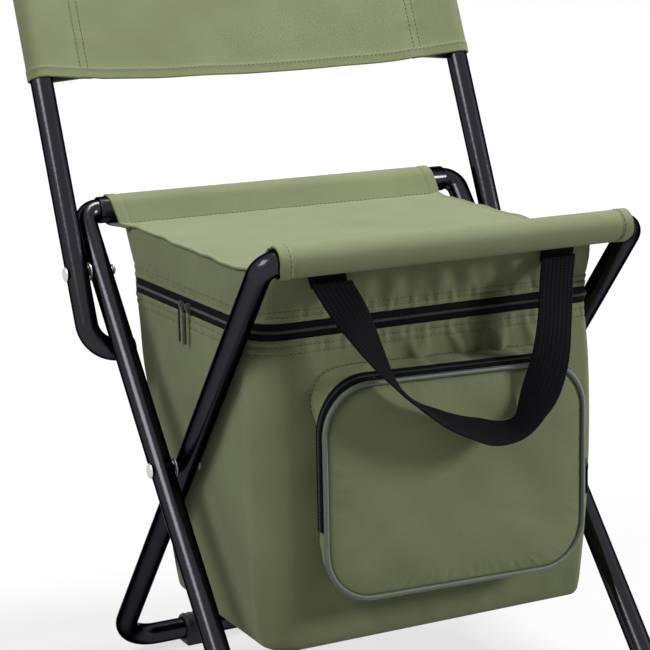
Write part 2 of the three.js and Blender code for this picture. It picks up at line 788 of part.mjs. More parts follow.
function pullTab() {
  const eye = pullEye / 2;
  const shape = new THREE.Shape();
  shape.absarc(0, 0, eye, -pullNeck * degree, Math.PI + pullNeck * degree);
  shape.lineTo(-pullWidth / 2, -pullLength);
  shape.lineTo(pullWidth / 2, -pullLength);
  shape.holes.push(new THREE.Path(roundPoints(bailRadius + fitGap, tubeSides / 2)));
  const turn = new THREE.Matrix4().makeBasis(xAxis, zAxis, yAxis.clone().negate());
  return extruded(shape, pullThickness).applyMatrix4(turn).translate(bailX, pullThickness / 2, 0);
}

function slider(names, x, y, z, turn) {
  const group = new THREE.Group();
  group.position.set(x, y, z);
  group.rotation.z = turn;
  model.add(group);
  piece(names[0], sliderBody(), blackMetal(), group);
  piece(names[1], pullTab(), blackMetal(), group);
}

const sliderX = -(zipHalf + fitGap);
slider(['slider_front', 'pull_front'], sliderX, sliderPlace - sliderSpacing / 2, zipZ, 0);
slider(['slider_rear', 'pull_rear'], sliderX, sliderPlace + sliderSpacing / 2, zipZ, 0);
const pocketSliderX = pocketBox.x1 + fitGap;
const pocketSliderZ = pocketZ + pocketSliderRise;
slider(['pocket_slider', 'pocket_pull'], pocketSliderX, pocketY + pocketTape, pocketSliderZ, Math.PI);

// Handle: flat webbing whose two ends are sewn under the seat behind the front rail. The tabs stay
// with the seat, and the loop below them swings. The route is the middle line of the loop as it
// hangs, from the left end to the right end.
const strapY = -(bandTop + bandRailGap / 2);
const strapTop = seatUnder(strapY + strapThickness / 2) - fitGap;
const swingZ = railZ - strapSwingDrop;
const strapHalf = seatFrontHalf - strapInset;
const loopY = Math.min(strapY, panelFront - loopStand);
const onLoop = ([side, out, low]) => new THREE.Vector3(
  side * strapHalf,
  THREE.MathUtils.lerp(strapY, loopY, out),
  swingZ - low * loopDrop,
);
const strapRoute = new THREE.CatmullRomCurve3([
  new THREE.Vector3(-strapHalf, strapY, swingZ - strapSwingGap),
  onLoop(loopLeftLeg),
  onLoop(loopTwist),
  onLoop(loopLowLeft),
  onLoop(loopLowest),
  onLoop(loopBend),
  onLoop(loopElbow),
  onLoop(loopRightLeg),
  new THREE.Vector3(strapHalf, strapY, swingZ - strapSwingGap),
]);

// A ribbon whose flat side looks forwards; its ends are square to the tabs
const strapRings = strapRoute.getPoints(strapSteps).map((point, k) => {
  const along = strapRoute.getTangent(k / strapSteps);
  const edge = new THREE.Vector3().crossVectors(yAxis, along).normalize();
  if (k === 0 || k === strapSteps) {
    edge.set(Math.sign(edge.x), 0, 0);
  }
  const corner = (across, out) => {
    const place = point.clone().addScaledVector(edge, across * strapWidth / 2);
    return place.addScaledVector(yAxis, out * strapThickness / 2);
  };
  return [corner(-1, -1), corner(1, -1), corner(1, 1), corner(-1, 1)];
});
piece('handle_strap', skin(strapRings), blackWebbing());
sides.forEach(([word, side]) => {
  const tab = new THREE.BoxGeometry(strapWidth, strapThickness, strapTop - swingZ);
  tab.translate(side * strapHalf, strapY, (strapTop + swingZ) / 2);
  piece(`handle_tab_${word}`, tab, blackWebbing());
});

// The origin is on the floor under the middle of the whole stool
const bounds = new THREE.Box3().setFromObject(model);
const middle = bounds.getCenter(new THREE.Vector3());
model.position.set(-middle.x, -middle.y, -bounds.min.z);

export default model;
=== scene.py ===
"""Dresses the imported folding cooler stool: smooth tubes, cloth, webbing, zips and a studio stage."""
import json
import math

import bmesh
import bpy
import numpy as np
from mathutils import Matrix


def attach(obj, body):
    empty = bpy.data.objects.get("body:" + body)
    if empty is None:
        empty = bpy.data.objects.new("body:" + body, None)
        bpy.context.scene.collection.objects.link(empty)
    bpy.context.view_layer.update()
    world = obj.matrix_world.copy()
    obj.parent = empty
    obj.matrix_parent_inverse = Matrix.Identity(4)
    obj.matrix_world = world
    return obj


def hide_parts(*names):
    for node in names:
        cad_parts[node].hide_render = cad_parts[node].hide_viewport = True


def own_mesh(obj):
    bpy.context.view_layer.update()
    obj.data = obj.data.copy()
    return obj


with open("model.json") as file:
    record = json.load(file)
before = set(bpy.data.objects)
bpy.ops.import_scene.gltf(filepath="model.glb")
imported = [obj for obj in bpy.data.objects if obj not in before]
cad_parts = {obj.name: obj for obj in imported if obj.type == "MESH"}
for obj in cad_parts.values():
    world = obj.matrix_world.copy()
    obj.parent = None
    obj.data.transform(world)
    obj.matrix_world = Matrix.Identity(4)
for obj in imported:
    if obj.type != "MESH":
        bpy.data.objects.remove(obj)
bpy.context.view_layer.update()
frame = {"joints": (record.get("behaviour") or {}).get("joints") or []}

bl_info = {
    "name": "Folding Cooler Stool",
    "version": (1, 0, 0),
    "blender": (4, 5, 0),
    "location": "3D View > Sidebar > Stool",
    "description": "Builds the visible pieces of a folding cooler stool round its packed frame",
    "category": "Add Mesh",
}

JOINT = {j["name"]: j for j in frame["joints"]}
PIVOT_Y = JOINT["leg_fold"]["pos_m"][1]
PIVOT_Z = JOINT["leg_fold"]["pos_m"][2]
MM = 0.001

# Points nearer than the first are merged, and nothing is divided by a length under the second
MERGE = 2e-6
TINY = 1e-12


def length(name, default, description):
    """A length property in metres."""
    return bpy.props.FloatProperty(
        name=name, description=description, default=default, unit="LENGTH", precision=4)


def colour(name, default, description):
    """A linear colour property."""
    return bpy.props.FloatVectorProperty(
        name=name, description=description, default=default, size=3, subtype="COLOR", min=0, max=1)


class StoolSizes(bpy.types.PropertyGroup):
    """Sizes of the visible pieces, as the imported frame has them."""

    tube: length("Tube radius", 8 * MM, "Radius of the leg and backrest tubes")
    rail: length("Rail radius", 9.5 * MM, "Radius of the sleeves over the tube ends")
    outer_x: length("Outer leg", 152 * MM, "Middle of the outer legs from the middle plane")
    inner_x: length("Inner leg", 134.6 * MM, "Middle of the inner legs from the middle plane")
    back_x: length("Backrest tube", 169.4 * MM, "Middle of the backrest tubes from the middle plane")
    to_rail: length("Pivot to rail", 204 * MM, "Distance along a leg from the cross rivet to the rail")
    to_floor: length("Pivot to floor", 222 * MM, "Distance along a leg from the cross rivet to its bar")
    back_height: length("Backrest height", 318 * MM, "Distance from the backrest rivet to the top bar")
    cloth: length("Cloth", 1.0 * MM, "Thickness of the oxford cloth")
    seat_drop: length("Seat drop", 13.6 * MM, "Depth of the seat cloth below the middle of the front rail")
    bag_half: length("Bag half width", 122.4 * MM, "Half the width of the bag at the zip")
    zip_drop: length("Zip below rail", 51.4 * MM, "Distance of the zip below the rails")
    tub_depth: length("Tub depth", 212 * MM, "Depth of the bag below the zip")
    strap_width: length("Webbing width", 24.8 * MM, "Width of the handle")
    leg_angle: bpy.props.FloatProperty(
        name="Leg angle", description="Lean of the legs", default=math.radians(39.8), subtype="ANGLE")
    back_lean: bpy.props.FloatProperty(
        name="Backrest lean", description="Lean of the backrest", default=math.radians(23), subtype="ANGLE")


class StoolColours(bpy.types.PropertyGroup):
    """Colours of the finishes."""

    cloth: colour("Cloth", (0.246, 0.273, 0.150), "Olive oxford cloth")
    # Painted shade: the colour of shaded threads deep in the weave, also used for the dark end of the stitch
    # thread
    cloth_painted_shade: colour("Cloth shade", (0.108, 0.122, 0.060), "Threads that lie deeper in the weave")
    paint: colour("Paint", (0.028, 0.0275, 0.033), "Gloss paint on the tubes")
    webbing: colour("Webbing", (0.0048, 0.0044, 0.0058), "Handle and zip tape")
    piping: colour("Piping", (0.085, 0.105, 0.078), "Cord round the pocket")
    steel: colour("Rivets", (0.58, 0.58, 0.60), "Rivets and washers")
    liner: colour("Liner", (0.60, 0.62, 0.65), "Foil inside the bag")
    foam: colour("Foam", (0.80, 0.80, 0.77), "Foam in the walls of the bag")
    floor: colour("Floor", (0.36, 0.36, 0.36), "Studio floor")


def sizes():
    """The stool's sizes in the open scene."""
    return bpy.context.scene.stool_sizes


def in_mm(size):
    """A size of the group in mm, rid of the last places of single precision."""
    return round(size / MM, 4)


def colours():
    """The stool's colours in the open scene."""
    return bpy.context.scene.stool_colours


# Places shared by several pieces


def leg_end(distance, side):
    """(y, z) at a distance up a leg from the cross rivet: side +1 is the leg to the rear rail."""
    s = sizes()
    return PIVOT_Y + side * distance * math.sin(s.leg_angle), PIVOT_Z + distance * math.cos(s.leg_angle)


def rail_place(side):
    """(y, z) of a rail: side +1 is the rear one, -1 the front one."""
    return leg_end(sizes().to_rail, side)


def zip_height():
    """Height of the zip's teeth above the floor."""
    return rail_place(1)[1] - sizes().zip_drop


# Meshes worked out on grids


def surface(name, grid, close_rows=False, close_columns=False, uv=None, flip=False):
    """Object from a grid of points (rows, columns, 3): each cell of the grid is one four-sided face.

    uv is a grid of (u, v) in metres with one more row or column where the grid closes on itself.
    """
    rows, columns = grid.shape[:2]
    i = np.arange(rows if close_rows else rows - 1)
    j = np.arange(columns if close_columns else columns - 1)
    a, b = np.meshgrid(i, j, indexing="ij")
    a1, b1 = a + 1, b + 1
    corners = [(a, b), (a, b1), (a1, b1), (a1, b)]
    if flip:
        corners.reverse()
    faces = np.stack([(r % rows) * columns + c % columns for r, c in corners], axis=-1).reshape(-1, 4)
    mesh = bpy.data.meshes.new(name)
    mesh.vertices.add(rows * columns)
    mesh.vertices.foreach_set("co", grid.reshape(-1).astype(np.float32))
    mesh.loops.add(faces.size)
    mesh.loops.foreach_set("vertex_index", faces.reshape(-1).astype(np.int32))
    mesh.polygons.add(len(faces))
    mesh.polygons.foreach_set("loop_start", np.arange(0, faces.size, 4, dtype=np.int32))
    mesh.polygons.foreach_set("use_smooth", np.ones(len(faces), dtype=bool))
    mesh.update(calc_edges=True)
    if uv is not None:
        layer = mesh.uv_layers.new(name="cloth")
        spread = np.stack([uv[r, c] for r, c in corners], axis=-2).reshape(-1)
        layer.data.foreach_set("uv", spread.astype(np.float32))
    return closed(name, mesh)


def closed(name, mesh):
    """Object of a mesh whose points that lie on one another, at seams and poles, are merged."""
    work = bmesh.new()
    work.from_mesh(mesh)
    bmesh.ops.remove_doubles(work, verts=work.verts, dist=MERGE)
    work.to_mesh(mesh)
    work.free()
    mesh.validate()
    piece = bpy.data.objects.new(name, mesh)
    bpy.context.collection.objects.link(piece)
    return piece


def beside(*arrays):
    """Arrays spread to one shape and put side by side in a last axis."""
    return np.stack(np.broadcast_arrays(*arrays), -1)


def run_lengths(points):
    """Distance along a line of points (n, 3) from its start."""
    steps = np.linalg.norm(np.diff(points, axis=0), axis=1)
    return np.concatenate([[0], np.cumsum(steps)])


def bent_path(corners, radii, steps=14, straight=10):
    """Line through corners with an arc of the given radius at each inner one: straight runs, then
    start + r sin(a) forwards + r (1 - cos(a)) sideways along each arc."""
    corners = np.asarray(corners, float)
    bits = [corners[:1]]
    for k in range(1, len(corners) - 1):
        into = corners[k] - corners[k - 1]
        into /= np.linalg.norm(into)
        out = corners[k + 1] - corners[k]
        out /= np.linalg.norm(out)
        turn = math.acos(np.clip(into @ out, -1, 1))
        sideways = out - into * (into @ out)
        sideways /= np.linalg.norm(sideways)
        radius = radii[k - 1]
        start = corners[k] - into * radius * math.tan(turn / 2)
        run = np.linspace(0, 1, straight + 1)[1:-1, None]
        bits.append(bits[-1][-1] * (1 - run) + start * run)
        angle = np.linspace(0, turn, steps)[:, None]
        bits.append(start + into * radius * np.sin(angle) + sideways * radius * (1 - np.cos(angle)))
    run = np.linspace(0, 1, straight + 1)[1:, None]
    bits.append(bits[-1][-1] * (1 - run) + corners[-1] * run)
    return np.concatenate(bits)


def along_path(path):
    """Unit tangents of a line of points, by central differences."""
    tangent = np.gradient(path, axis=0)
    return tangent / np.linalg.norm(tangent, axis=1, keepdims=True)


def round_tube(name, path, radius, across, sides=40):
    """Circle carried along a path that lies in a plane: path + r (cos(a) normal + sin(a) across)."""
    across = np.asarray(across, float)
    normal = np.cross(across, along_path(path))
    angle = np.linspace(0, 2 * math.pi, sides, endpoint=False)
    ring = np.cos(angle)[None, :, None] * normal[:, None] + np.sin(angle)[None, :, None] * across
    u, v = np.meshgrid(run_lengths(path), np.linspace(0, 2 * math.pi * radius, sides + 1), indexing="ij")
    return surface(name, path[:, None] + radius * ring, close_columns=True, uv=np.stack([u, v], -1))


def turned(name, profile, centre, side, close=False, sides=36):
    """Profile of (radius, distance) pairs turned about X: centre + (side d, r cos(a), r sin(a))."""
    profile = np.asarray(profile, float)
    angle = np.linspace(0, 2 * math.pi, sides, endpoint=False)
    r = profile[:, :1]
    grid = np.stack([
        np.repeat(side * profile[:, 1:], sides, axis=1),
        r * np.cos(angle),
        r * np.sin(angle),
    ], -1) + np.asarray(centre, float)
    return surface(name, grid, close_rows=close, close_columns=True, flip=side > 0)


# Cloth worked out on lines and loops


def smooth(low, high, x):
    """0 below low, 1 above high, and 3t^2 - 2t^3 between them."""
    t = np.clip((x - low) / (high - low), 0, 1)
    return t * t * (3 - 2 * t)


def hump(x, centre, width):
    """A bell of height 1: exp(-((x - centre) / width)^2)."""
    return np.exp(-(((x - centre) / width) ** 2))


def ripple(x, pitch, seed=0.0):
    """Uneven waves of about that pitch, between -1 and 1: three sines whose pitches share no factor."""
    k = 2 * math.pi / pitch
    first = np.sin(k * x + seed)
    second = 0.6 * np.sin(1.618 * k * x + 2.1 * seed + 1)
    third = 0.5 * np.sin(0.573 * k * x + 3.7 * seed + 2)
    return (first + second + third) / 2.1


def read_at(places, run, values):
    """Values (n, k), known at the distances run along a line, read at other places on it."""
    return np.stack([np.interp(places, run, column) for column in values.T], 1)


def even_line(line, count):
    """The same line of points at even distances."""
    run = run_lengths(line)
    return read_at(np.linspace(0, run[-1], count), run, line)


def grid_normals(grid, close_columns=False):
    """Unit normals of a grid, the cross product of its column and row directions."""
    rows = np.gradient(grid, axis=0)
    if close_columns:
        columns = np.roll(grid, -1, 1) - np.roll(grid, 1, 1)
    else:
        columns = np.gradient(grid, axis=1)
    normal = np.cross(columns, rows)
    return normal / np.maximum(np.linalg.norm(normal, axis=-1, keepdims=True), TINY)


def sheet_of(name, grid, uv, thickness, close_columns=False, pole=False):
    """A sheet with thickness: the grid moved half of it each way along its normals, with rounded edges.

    Rows run out over one face and back over the other. A line in the middle rounds each edge.
    Where the last row is a pole, all its points lie together and it has no edge.
    """
    half = np.asarray(thickness) / 2
    if np.ndim(half):
        half = half[..., None]
    offset = grid_normals(grid, close_columns) * half
    if pole:
        offset[-1] = offset[-3].mean(0)
    reach = np.max(half) * 0.7

    def rim(edge, inner):
        """The edge pushed out a little, away from the row inside it."""
        out = edge - inner
        return edge + reach * out / np.maximum(np.linalg.norm(out, axis=-1, keepdims=True), TINY)

    top, bottom = grid + offset, grid - offset
    first, last = rim(grid[:1], grid[1:2]), rim(grid[-1:], grid[-2:-1])
    if pole:
        last = grid[-1:]
    faces = np.concatenate([first, top, last, bottom[::-1]])
    spread = np.concatenate([uv[:1], uv, uv[-1:], uv[::-1], uv[:1]])
    if close_columns:
        lap = 2 * spread[:, -1:] - spread[:, -2:-1]
        spread = np.concatenate([spread, lap], 1)
        return surface(name, faces, close_rows=True, close_columns=True, uv=spread)
    middle = np.concatenate([first, grid, last, grid[::-1]])
    left, right = rim(middle[:, :1], middle[:, 1:2]), rim(middle[:, -1:], middle[:, -2:-1])
    faces = np.concatenate([left, faces, right], 1)
    spread = np.concatenate([spread[:, :1], spread, spread[:, -1:]], 1)
    return surface(name, faces, close_rows=True, uv=spread)


def stitches(name, lines, pitch=3.4 * MM, radius=0.32 * MM):
    """Rows of stitches as one mesh: an even run of low beads on each line of (points, normals)."""
    places, runs, ups = [], [], []
    for points, normals in lines:
        run = run_lengths(points)
        count = max(2, int(run[-1] / pitch))
        at = (np.arange(count) + 0.5) * run[-1] / count
        for store, values in ((places, points), (runs, along_path(points)), (ups, normals)):
            store.append(read_at(at, run, values))
    place, run, up = (np.concatenate(v) for v in (places, runs, ups))
    return beads(name, place, run, up, (0.4 * pitch, radius, radius))


def beads(name, place, run, up, radii):
    """Small ellipsoids as one mesh: place + a cos(b) run + sin(b) (c cos(t) side + d sin(t) up)."""
    run = run / np.linalg.norm(run, axis=1, keepdims=True)
    side = np.cross(run, up)
    side /= np.linalg.norm(side, axis=1, keepdims=True)
    up = np.cross(side, run)
    b = np.linspace(0, math.pi, 6)[:, None]
    t = np.linspace(0, 2 * math.pi, 6, endpoint=False)[None]
    parts = (radii[0] * np.cos(b), radii[1] * np.sin(b) * np.cos(t), radii[2] * np.sin(b) * np.sin(t))
    shape = beside(*parts)
    axes = np.stack([run, side, up], 1)
    return many(name, place[:, None, None] + np.einsum("rck,nkd->nrcd", shape, axes))


def many(name, grids):
    """One mesh of many like grids (n, rows, columns, 3), each closed along its columns."""
    count, rows, columns = grids.shape[:3]
    r, c = np.meshgrid(np.arange(rows - 1), np.arange(columns), indexing="ij")
    nxt = (c + 1) % columns
    corners = [(r, c), (r + 1, c), (r + 1, nxt), (r, nxt)]
    face = np.stack([row * columns + column for row, column in corners], -1).reshape(-1, 4)
    faces = (face[None] + (np.arange(count) * rows * columns)[:, None, None]).reshape(-1, 4)
    mesh = bpy.data.meshes.new(name)
    mesh.from_pydata(grids.reshape(-1, 3), [], faces)
    mesh.polygons.foreach_set("use_smooth", np.ones(len(faces), dtype=bool))
    return closed(name, mesh)


def fold_with_legs(*cloth):
    """Gives each soft piece its own copy of its mesh."""
    for piece in cloth:
        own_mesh(piece)


def finish(piece, body, look, slot, *nodes):
    """Puts a piece in the frame: its look, the body it rides on and the nodes it stands for, which it hides.
    The slot is not used.
    """
    piece.data.materials.append(look)
    if nodes:
        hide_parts(*nodes)
    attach(piece, body)
    return piece


# Finishes


def times(colour, factor):
    """A colour made darker or lighter."""
    return [channel * factor for channel in colour]


class Nodes:
    """The node tree of a new material or world, built up from plain calls."""

    def __init__(self, name, kind="materials"):
        self.owner = getattr(bpy.data, kind).new(name)
        self.owner.use_nodes = True
        self.tree = self.owner.node_tree
        self.shader = self.tree.nodes.get("Principled BSDF")

    def add(self, kind, **values):
        """A node of that kind; values set its properties or its input sockets."""
        node = self.tree.nodes.new(kind)
        for key, value in values.items():
            if hasattr(node, key):
                setattr(node, key, value)
            else:
                node.inputs[key.replace("_", " ")].default_value = value
        return node

    def link(self, a, b):
        """Joins an output socket to an input socket."""
        self.tree.links.new(a, b)

    def math(self, operation, a, b):
        """The result of a sum on two sockets or numbers."""
        node = self.add("ShaderNodeMath", operation=operation)
        for k, value in enumerate((a, b)):
            if isinstance(value, (int, float)):
                node.inputs[k].default_value = value
            else:
                self.link(value, node.inputs[k])
        return node.outputs[0]

    def set(self, **values):
        """Constant values of the surface shader."""
        for key, value in values.items():
            self.shader.inputs[key.replace("_", " ")].default_value = value

    def wave(self, coordinates, pitch, direction="X"):
        """Sine bands of the given pitch in metres along one coordinate."""
        node = self.add("ShaderNodeTexWave", bands_direction=direction, Scale=math.pi / 10 / pitch)
        self.link(coordinates, node.inputs["Vector"])
        return node.outputs["Fac"]

    def noise(self, coordinates, size, detail=3.0):
        """Noise whose features are about as large as size in metres."""
        node = self.add("ShaderNodeTexNoise", Scale=1 / size, Detail=detail)
        self.link(coordinates, node.inputs["Vector"])
        return node.outputs["Fac"]

    def blend(self, a, weight_a, b, weight_b):
        """Sum of two sockets, each times its weight."""
        return self.math("ADD", self.math("MULTIPLY", a, weight_a), self.math("MULTIPLY", b, weight_b))

    def rough(self, value, low, high):
        """Roughness between low and high, by a 0 to 1 socket."""
        node = self.add("ShaderNodeMapRange", To_Min=low, To_Max=high)
        self.link(value, node.inputs["Value"])
        self.link(node.outputs["Result"], self.shader.inputs["Roughness"])

    def tint(self, value, first, second):
        """Base colour between two, by a 0 to 1 socket."""
        node = self.add("ShaderNodeMix", data_type="RGBA")
        self.link(value, node.inputs[0])
        node.inputs[6].default_value = (*first, 1)
        node.inputs[7].default_value = (*second, 1)
        self.link(node.outputs[2], self.shader.inputs["Base Color"])

    def bump(self, height, distance, strength=1.0):
        """Raises the surface by a height socket."""
        node = self.add("ShaderNodeBump", Strength=strength, Distance=distance)
        self.link(height, node.inputs["Height"])
        self.link(node.outputs[0], self.shader.inputs["Normal"])

    def place(self, kind="UV"):
        """Coordinates: UV of the piece in metres, or Object."""
        return self.add("ShaderNodeTexCoord").outputs[kind]

    def seen(self):
        """1 for rays of the camera, of reflections and through clear things, 0 for light on the pieces."""
        rays = self.add("ShaderNodeLightPath").outputs
        shown = self.math("MAXIMUM", rays["Is Camera Ray"], rays["Is Glossy Ray"])
        return self.math("MAXIMUM", shown, rays["Is Transmission Ray"])


MADE = {}


def material(make):
    """Keeps one material for each finish."""

    def get():
        if make.__name__ not in MADE:
            MADE[make.__name__] = make()
        return MADE[make.__name__]

    return get


@material
def gloss_paint():
    """Black gloss paint, slightly rippled: a faint cold reflection, held dark at the rims."""
    n = Nodes("gloss_black_paint")
    n.set(Base_Color=(*colours().paint, 1), Metallic=1.0, Specular_Tint=(0.25, 0.25, 0.27, 1))
    place = n.place("Object")
    n.rough(n.noise(place, 0.02), 0.16, 0.24)
    n.bump(n.noise(place, 0.0035, 1.0), 0.00006)
    return n.owner


@material
def rivet_steel():
    """Bright rivet steel with fine turning marks."""
    n = Nodes("rivet_steel")
    n.set(Base_Color=(*colours().steel, 1), Metallic=1.0)
    place = n.place("Object")
    n.rough(n.noise(place, 0.0012), 0.2, 0.42)
    n.bump(n.noise(place, 0.0006), 0.00003)
    return n.owner


@material
def foot_plastic():
    """Black moulded plastic with a fine spark texture."""
    n = Nodes("foot_plastic")
    n.set(Specular_IOR_Level=0.25)
    place = n.place("Object")
    n.tint(n.noise(place, 0.004), (0.005, 0.005, 0.006), (0.01, 0.01, 0.011))
    n.rough(n.noise(place, 0.002), 0.42, 0.6)
    n.bump(n.noise(place, 0.0007), 0.00005)
    return n.owner


@material
def oxford():
    """Olive oxford cloth: two crossed sets of threads and a faint diagonal, with painted shade where the
    weave lies deep, and slow colour changes.
    """
    n = Nodes("olive_oxford")
    c = colours()
    n.set(Roughness=0.82, Sheen_Weight=0.1, Sheen_Roughness=0.5, Specular_IOR_Level=0.12)
    pitch = 1.4 * MM
    uv = n.place()
    warp = n.math("SUBTRACT", n.wave(uv, pitch), 0.5)
    weft = n.math("SUBTRACT", n.wave(uv, pitch, "Y"), 0.5)
    plain = n.math("MULTIPLY_ADD", n.math("MULTIPLY", warp, weft), 2.0)
    plain.node.inputs[2].default_value = 0.5
    twill = n.wave(uv, 0.0016, "DIAGONAL")
    weave = n.blend(plain, 0.85, twill, 0.15)
    slow = n.noise(n.place("Object"), 0.05)
    mixed = n.blend(weave, 0.65, slow, 0.45)
    # The tint paints shade where the weave lies low, plus slow changes of tone at random
    n.tint(mixed, c.cloth_painted_shade, c.cloth)
    n.bump(weave, 0.00022, 0.8)
    return n.owner


@material
def webbing():
    """Black webbing: ribs across its width and a few grooves along it."""
    n = Nodes("black_webbing")
    n.set(Roughness=0.66, Specular_IOR_Level=0.04)
    uv = n.place()
    ribs = n.wave(uv, 0.0016)
    grooves = n.wave(uv, 0.0031, "Y")
    weave = n.blend(ribs, 0.6, grooves, 0.4)
    dark = colours().webbing
    n.tint(weave, times(dark, 0.5), times(dark, 2.0))
    n.bump(weave, 0.0005, 0.9)
    return n.owner


@material
def thread():
    """Sewing thread painted dark, as the shade in the stitch holes, with a fine twist along each stitch."""
    n = Nodes("stitch_thread_painted_hole_shade")
    c = colours()
    n.set(Roughness=0.75, Sheen_Weight=0.2, Specular_IOR_Level=0.25)
    place = n.place("Object")
    twist = n.noise(place, 0.0004, 1.0)
    # Both ends of the tint are far darker than the cloth: painted shade of the stitch holes
    n.tint(twist, times(c.cloth_painted_shade, 0.25), times(c.cloth, 0.5))
    n.bump(twist, 0.0001)
    return n.owner


@material
def zip_tape():
    """Black zip tape: a fine knit of short ribs."""
    n = Nodes("zip_tape")
    n.set(Roughness=0.8, Specular_IOR_Level=0.05)
    uv = n.place()
    knit = n.math("MULTIPLY", n.wave(uv, 0.0009), n.wave(uv, 0.0011, "Y"))
    dark = colours().webbing
    n.tint(knit, times(dark, 0.5), times(dark, 2.0))
    n.bump(knit, 0.0002)
    return n.owner


@material
def zip_teeth():
    """Nylon teeth: dark grey with a soft shine."""
    n = Nodes("zip_teeth")
    place = n.place("Object")
    n.set(Specular_IOR_Level=0.5)
    n.tint(n.noise(place, 0.003), (0.02, 0.02, 0.022), (0.045, 0.045, 0.048))
    n.rough(n.noise(place, 0.002), 0.32, 0.45)
    return n.owner


@material
def zip_enamel():
    """Black enamel on the die-cast sliders, a little uneven."""
    n = Nodes("zip_enamel")
    n.set(Specular_IOR_Level=0.2)
    place = n.place("Object")
    n.tint(n.noise(place, 0.003), (0.004, 0.004, 0.005), (0.011, 0.011, 0.012))
    n.rough(n.noise(place, 0.0015), 0.25, 0.42)
    n.bump(n.noise(place, 0.0012), 0.00006)
    return n.owner


@material
def piping():
    """Grey-green corded binding: fine threads across it and a soft shine."""
    n = Nodes("corded_binding")
    c = colours()
    n.set(Roughness=0.38, Specular_IOR_Level=0.5)
    uv = n.place()
    threads = n.wave(uv, 0.0009)
    slow = n.noise(n.place("Object"), 0.01)
    mixed = n.blend(threads, 0.5, slow, 0.5)
    n.tint(mixed, times(c.piping, 0.7), times(c.piping, 1.4))
    n.bump(threads, 0.00012)
    return n.owner


@material
def white_foam():
    """White closed-cell foam with small cells."""
    n = Nodes("white_foam")
    c = colours()
    n.set(Roughness=0.85, Specular_IOR_Level=0.2)
    cells = n.noise(n.place("Object"), 0.0012)
    n.tint(cells, times(c.foam, 0.9), c.foam)
    n.bump(cells, 0.0003)
    return n.owner


@material
def silver_foil():
    """Silver foil liner: metal with fine crumples."""
    n = Nodes("silver_foil")
    n.set(Base_Color=(*colours().liner, 1), Metallic=0.85)
    place = n.place("Object")
    crumple = n.noise(place, 0.012, 4.0)
    n.rough(n.noise(place, 0.006), 0.25, 0.42)
    n.bump(crumple, 0.0012)
    return n.owner


@material
def grey_board():
    """Grey board with a fibrous face."""
    n = Nodes("grey_board")
    n.set(Roughness=0.88, Specular_IOR_Level=0.2)
    fibres = n.noise(n.place("Object"), 0.002, 5.0)
    n.tint(fibres, (0.16, 0.16, 0.155), (0.26, 0.255, 0.245))
    n.bump(fibres, 0.0002)
    return n.owner


# Frames: the gap between pieces, the stubs in the rails, the bends of the tubes and the backrest's hooks

GAP = 0.3 * MM
STUB = 48 * MM
RAIL_BEND = 11 * MM
FLOOR_BEND = 30 * MM
HOOK_BEND = 20 * MM
TOP_BEND = 28 * MM
HOOK_REACH = 29 * MM
SIDES = (("left", -1), ("right", 1))


def mirrored(half):
    """Corners on the left, then their mirror images on the right, back to the first."""
    return half + [(-x, *rest) for x, *rest in reversed(half)]


def hook_drop():
    """Distance of the hooks below the backrest rivets, at which they lie against the outer legs."""
    s = sizes()
    return (2 * s.tube + GAP) / math.sin(s.leg_angle - s.back_lean)


def bent_tube(name, body, corners, radii, across):
    """One smooth painted tube through corners, which stands for the node of that name."""
    tube = round_tube(name + "_tube", bent_path(corners, radii), sizes().tube, across)
    return finish(tube, body, gloss_paint(), "black_paint", name)


class STOOL_OT_leg_frames(bpy.types.Operator):
    """Both leg frames: tubes bent at the rails and at the floor"""

    bl_idname = "stool.leg_frames"
    bl_label = "Leg Frames"

    def execute(self, context):
        s = sizes()
        bends = [RAIL_BEND, FLOOR_BEND, FLOOR_BEND, RAIL_BEND]
        for name, body, x, side in (
                ("outer_leg_frame", "outer_frame", s.outer_x, 1),
                ("inner_leg_frame", "inner_frame", s.inner_x, -1)):
            rail = rail_place(side)
            floor = leg_end(-s.to_floor, side)
            corners = mirrored([(-x + STUB, *rail), (-x, *rail), (-x, *floor)])
            across = (0, math.cos(s.leg_angle), -side * math.sin(s.leg_angle))
            bent_tube(name, body, corners, bends, across)
        return {"FINISHED"}


class STOOL_OT_backrest_frame(bpy.types.Operator):
    """Backrest tube: drawn upright about its rivets and leaned back"""

    bl_idname = "stool.backrest_frame"
    bl_label = "Backrest Frame"

    def execute(self, context):
        s = sizes()
        drop = hook_drop()
        end = s.back_x - HOOK_REACH
        upright = mirrored([(-end, 0, -drop), (-s.back_x, 0, -drop), (-s.back_x, 0, s.back_height)])
        across = (0, math.cos(s.back_lean), -math.sin(s.back_lean))
        bends = [HOOK_BEND, TOP_BEND, TOP_BEND, HOOK_BEND]
        bent_tube("backrest_frame", "backrest", lean_back(np.array(upright)), bends, across)
        return {"FINISHED"}


def lean_back(points):
    """Points drawn about the backrest rivets in (x, rearwards, up), turned about X by the lean."""
    s = sizes()
    y0, z0 = JOINT["backrest_fold"]["pos_m"][1:]
    c, d = math.cos(s.back_lean), math.sin(s.back_lean)
    x, y, z = points[..., 0], points[..., 1], points[..., 2]
    return np.stack([x, y0 + y * c + z * d, z0 - y * d + z * c], -1)


def ring_profile(outer, inner, half, edge):
    """Closed profile of a sleeve along X: out along the outer face with round ends, back along the bore."""
    cut = 0.3 * edge
    return np.array([
        (inner, -half), (outer - edge, -half), (outer - cut, -half + cut), (outer, -half + edge),
        (outer, -half / 2), (outer, 0), (outer, half / 2),
        (outer, half - edge), (outer - cut, half - cut), (outer - edge, half), (inner, half),
        (inner, half / 2), (inner, 0), (inner, -half / 2)])


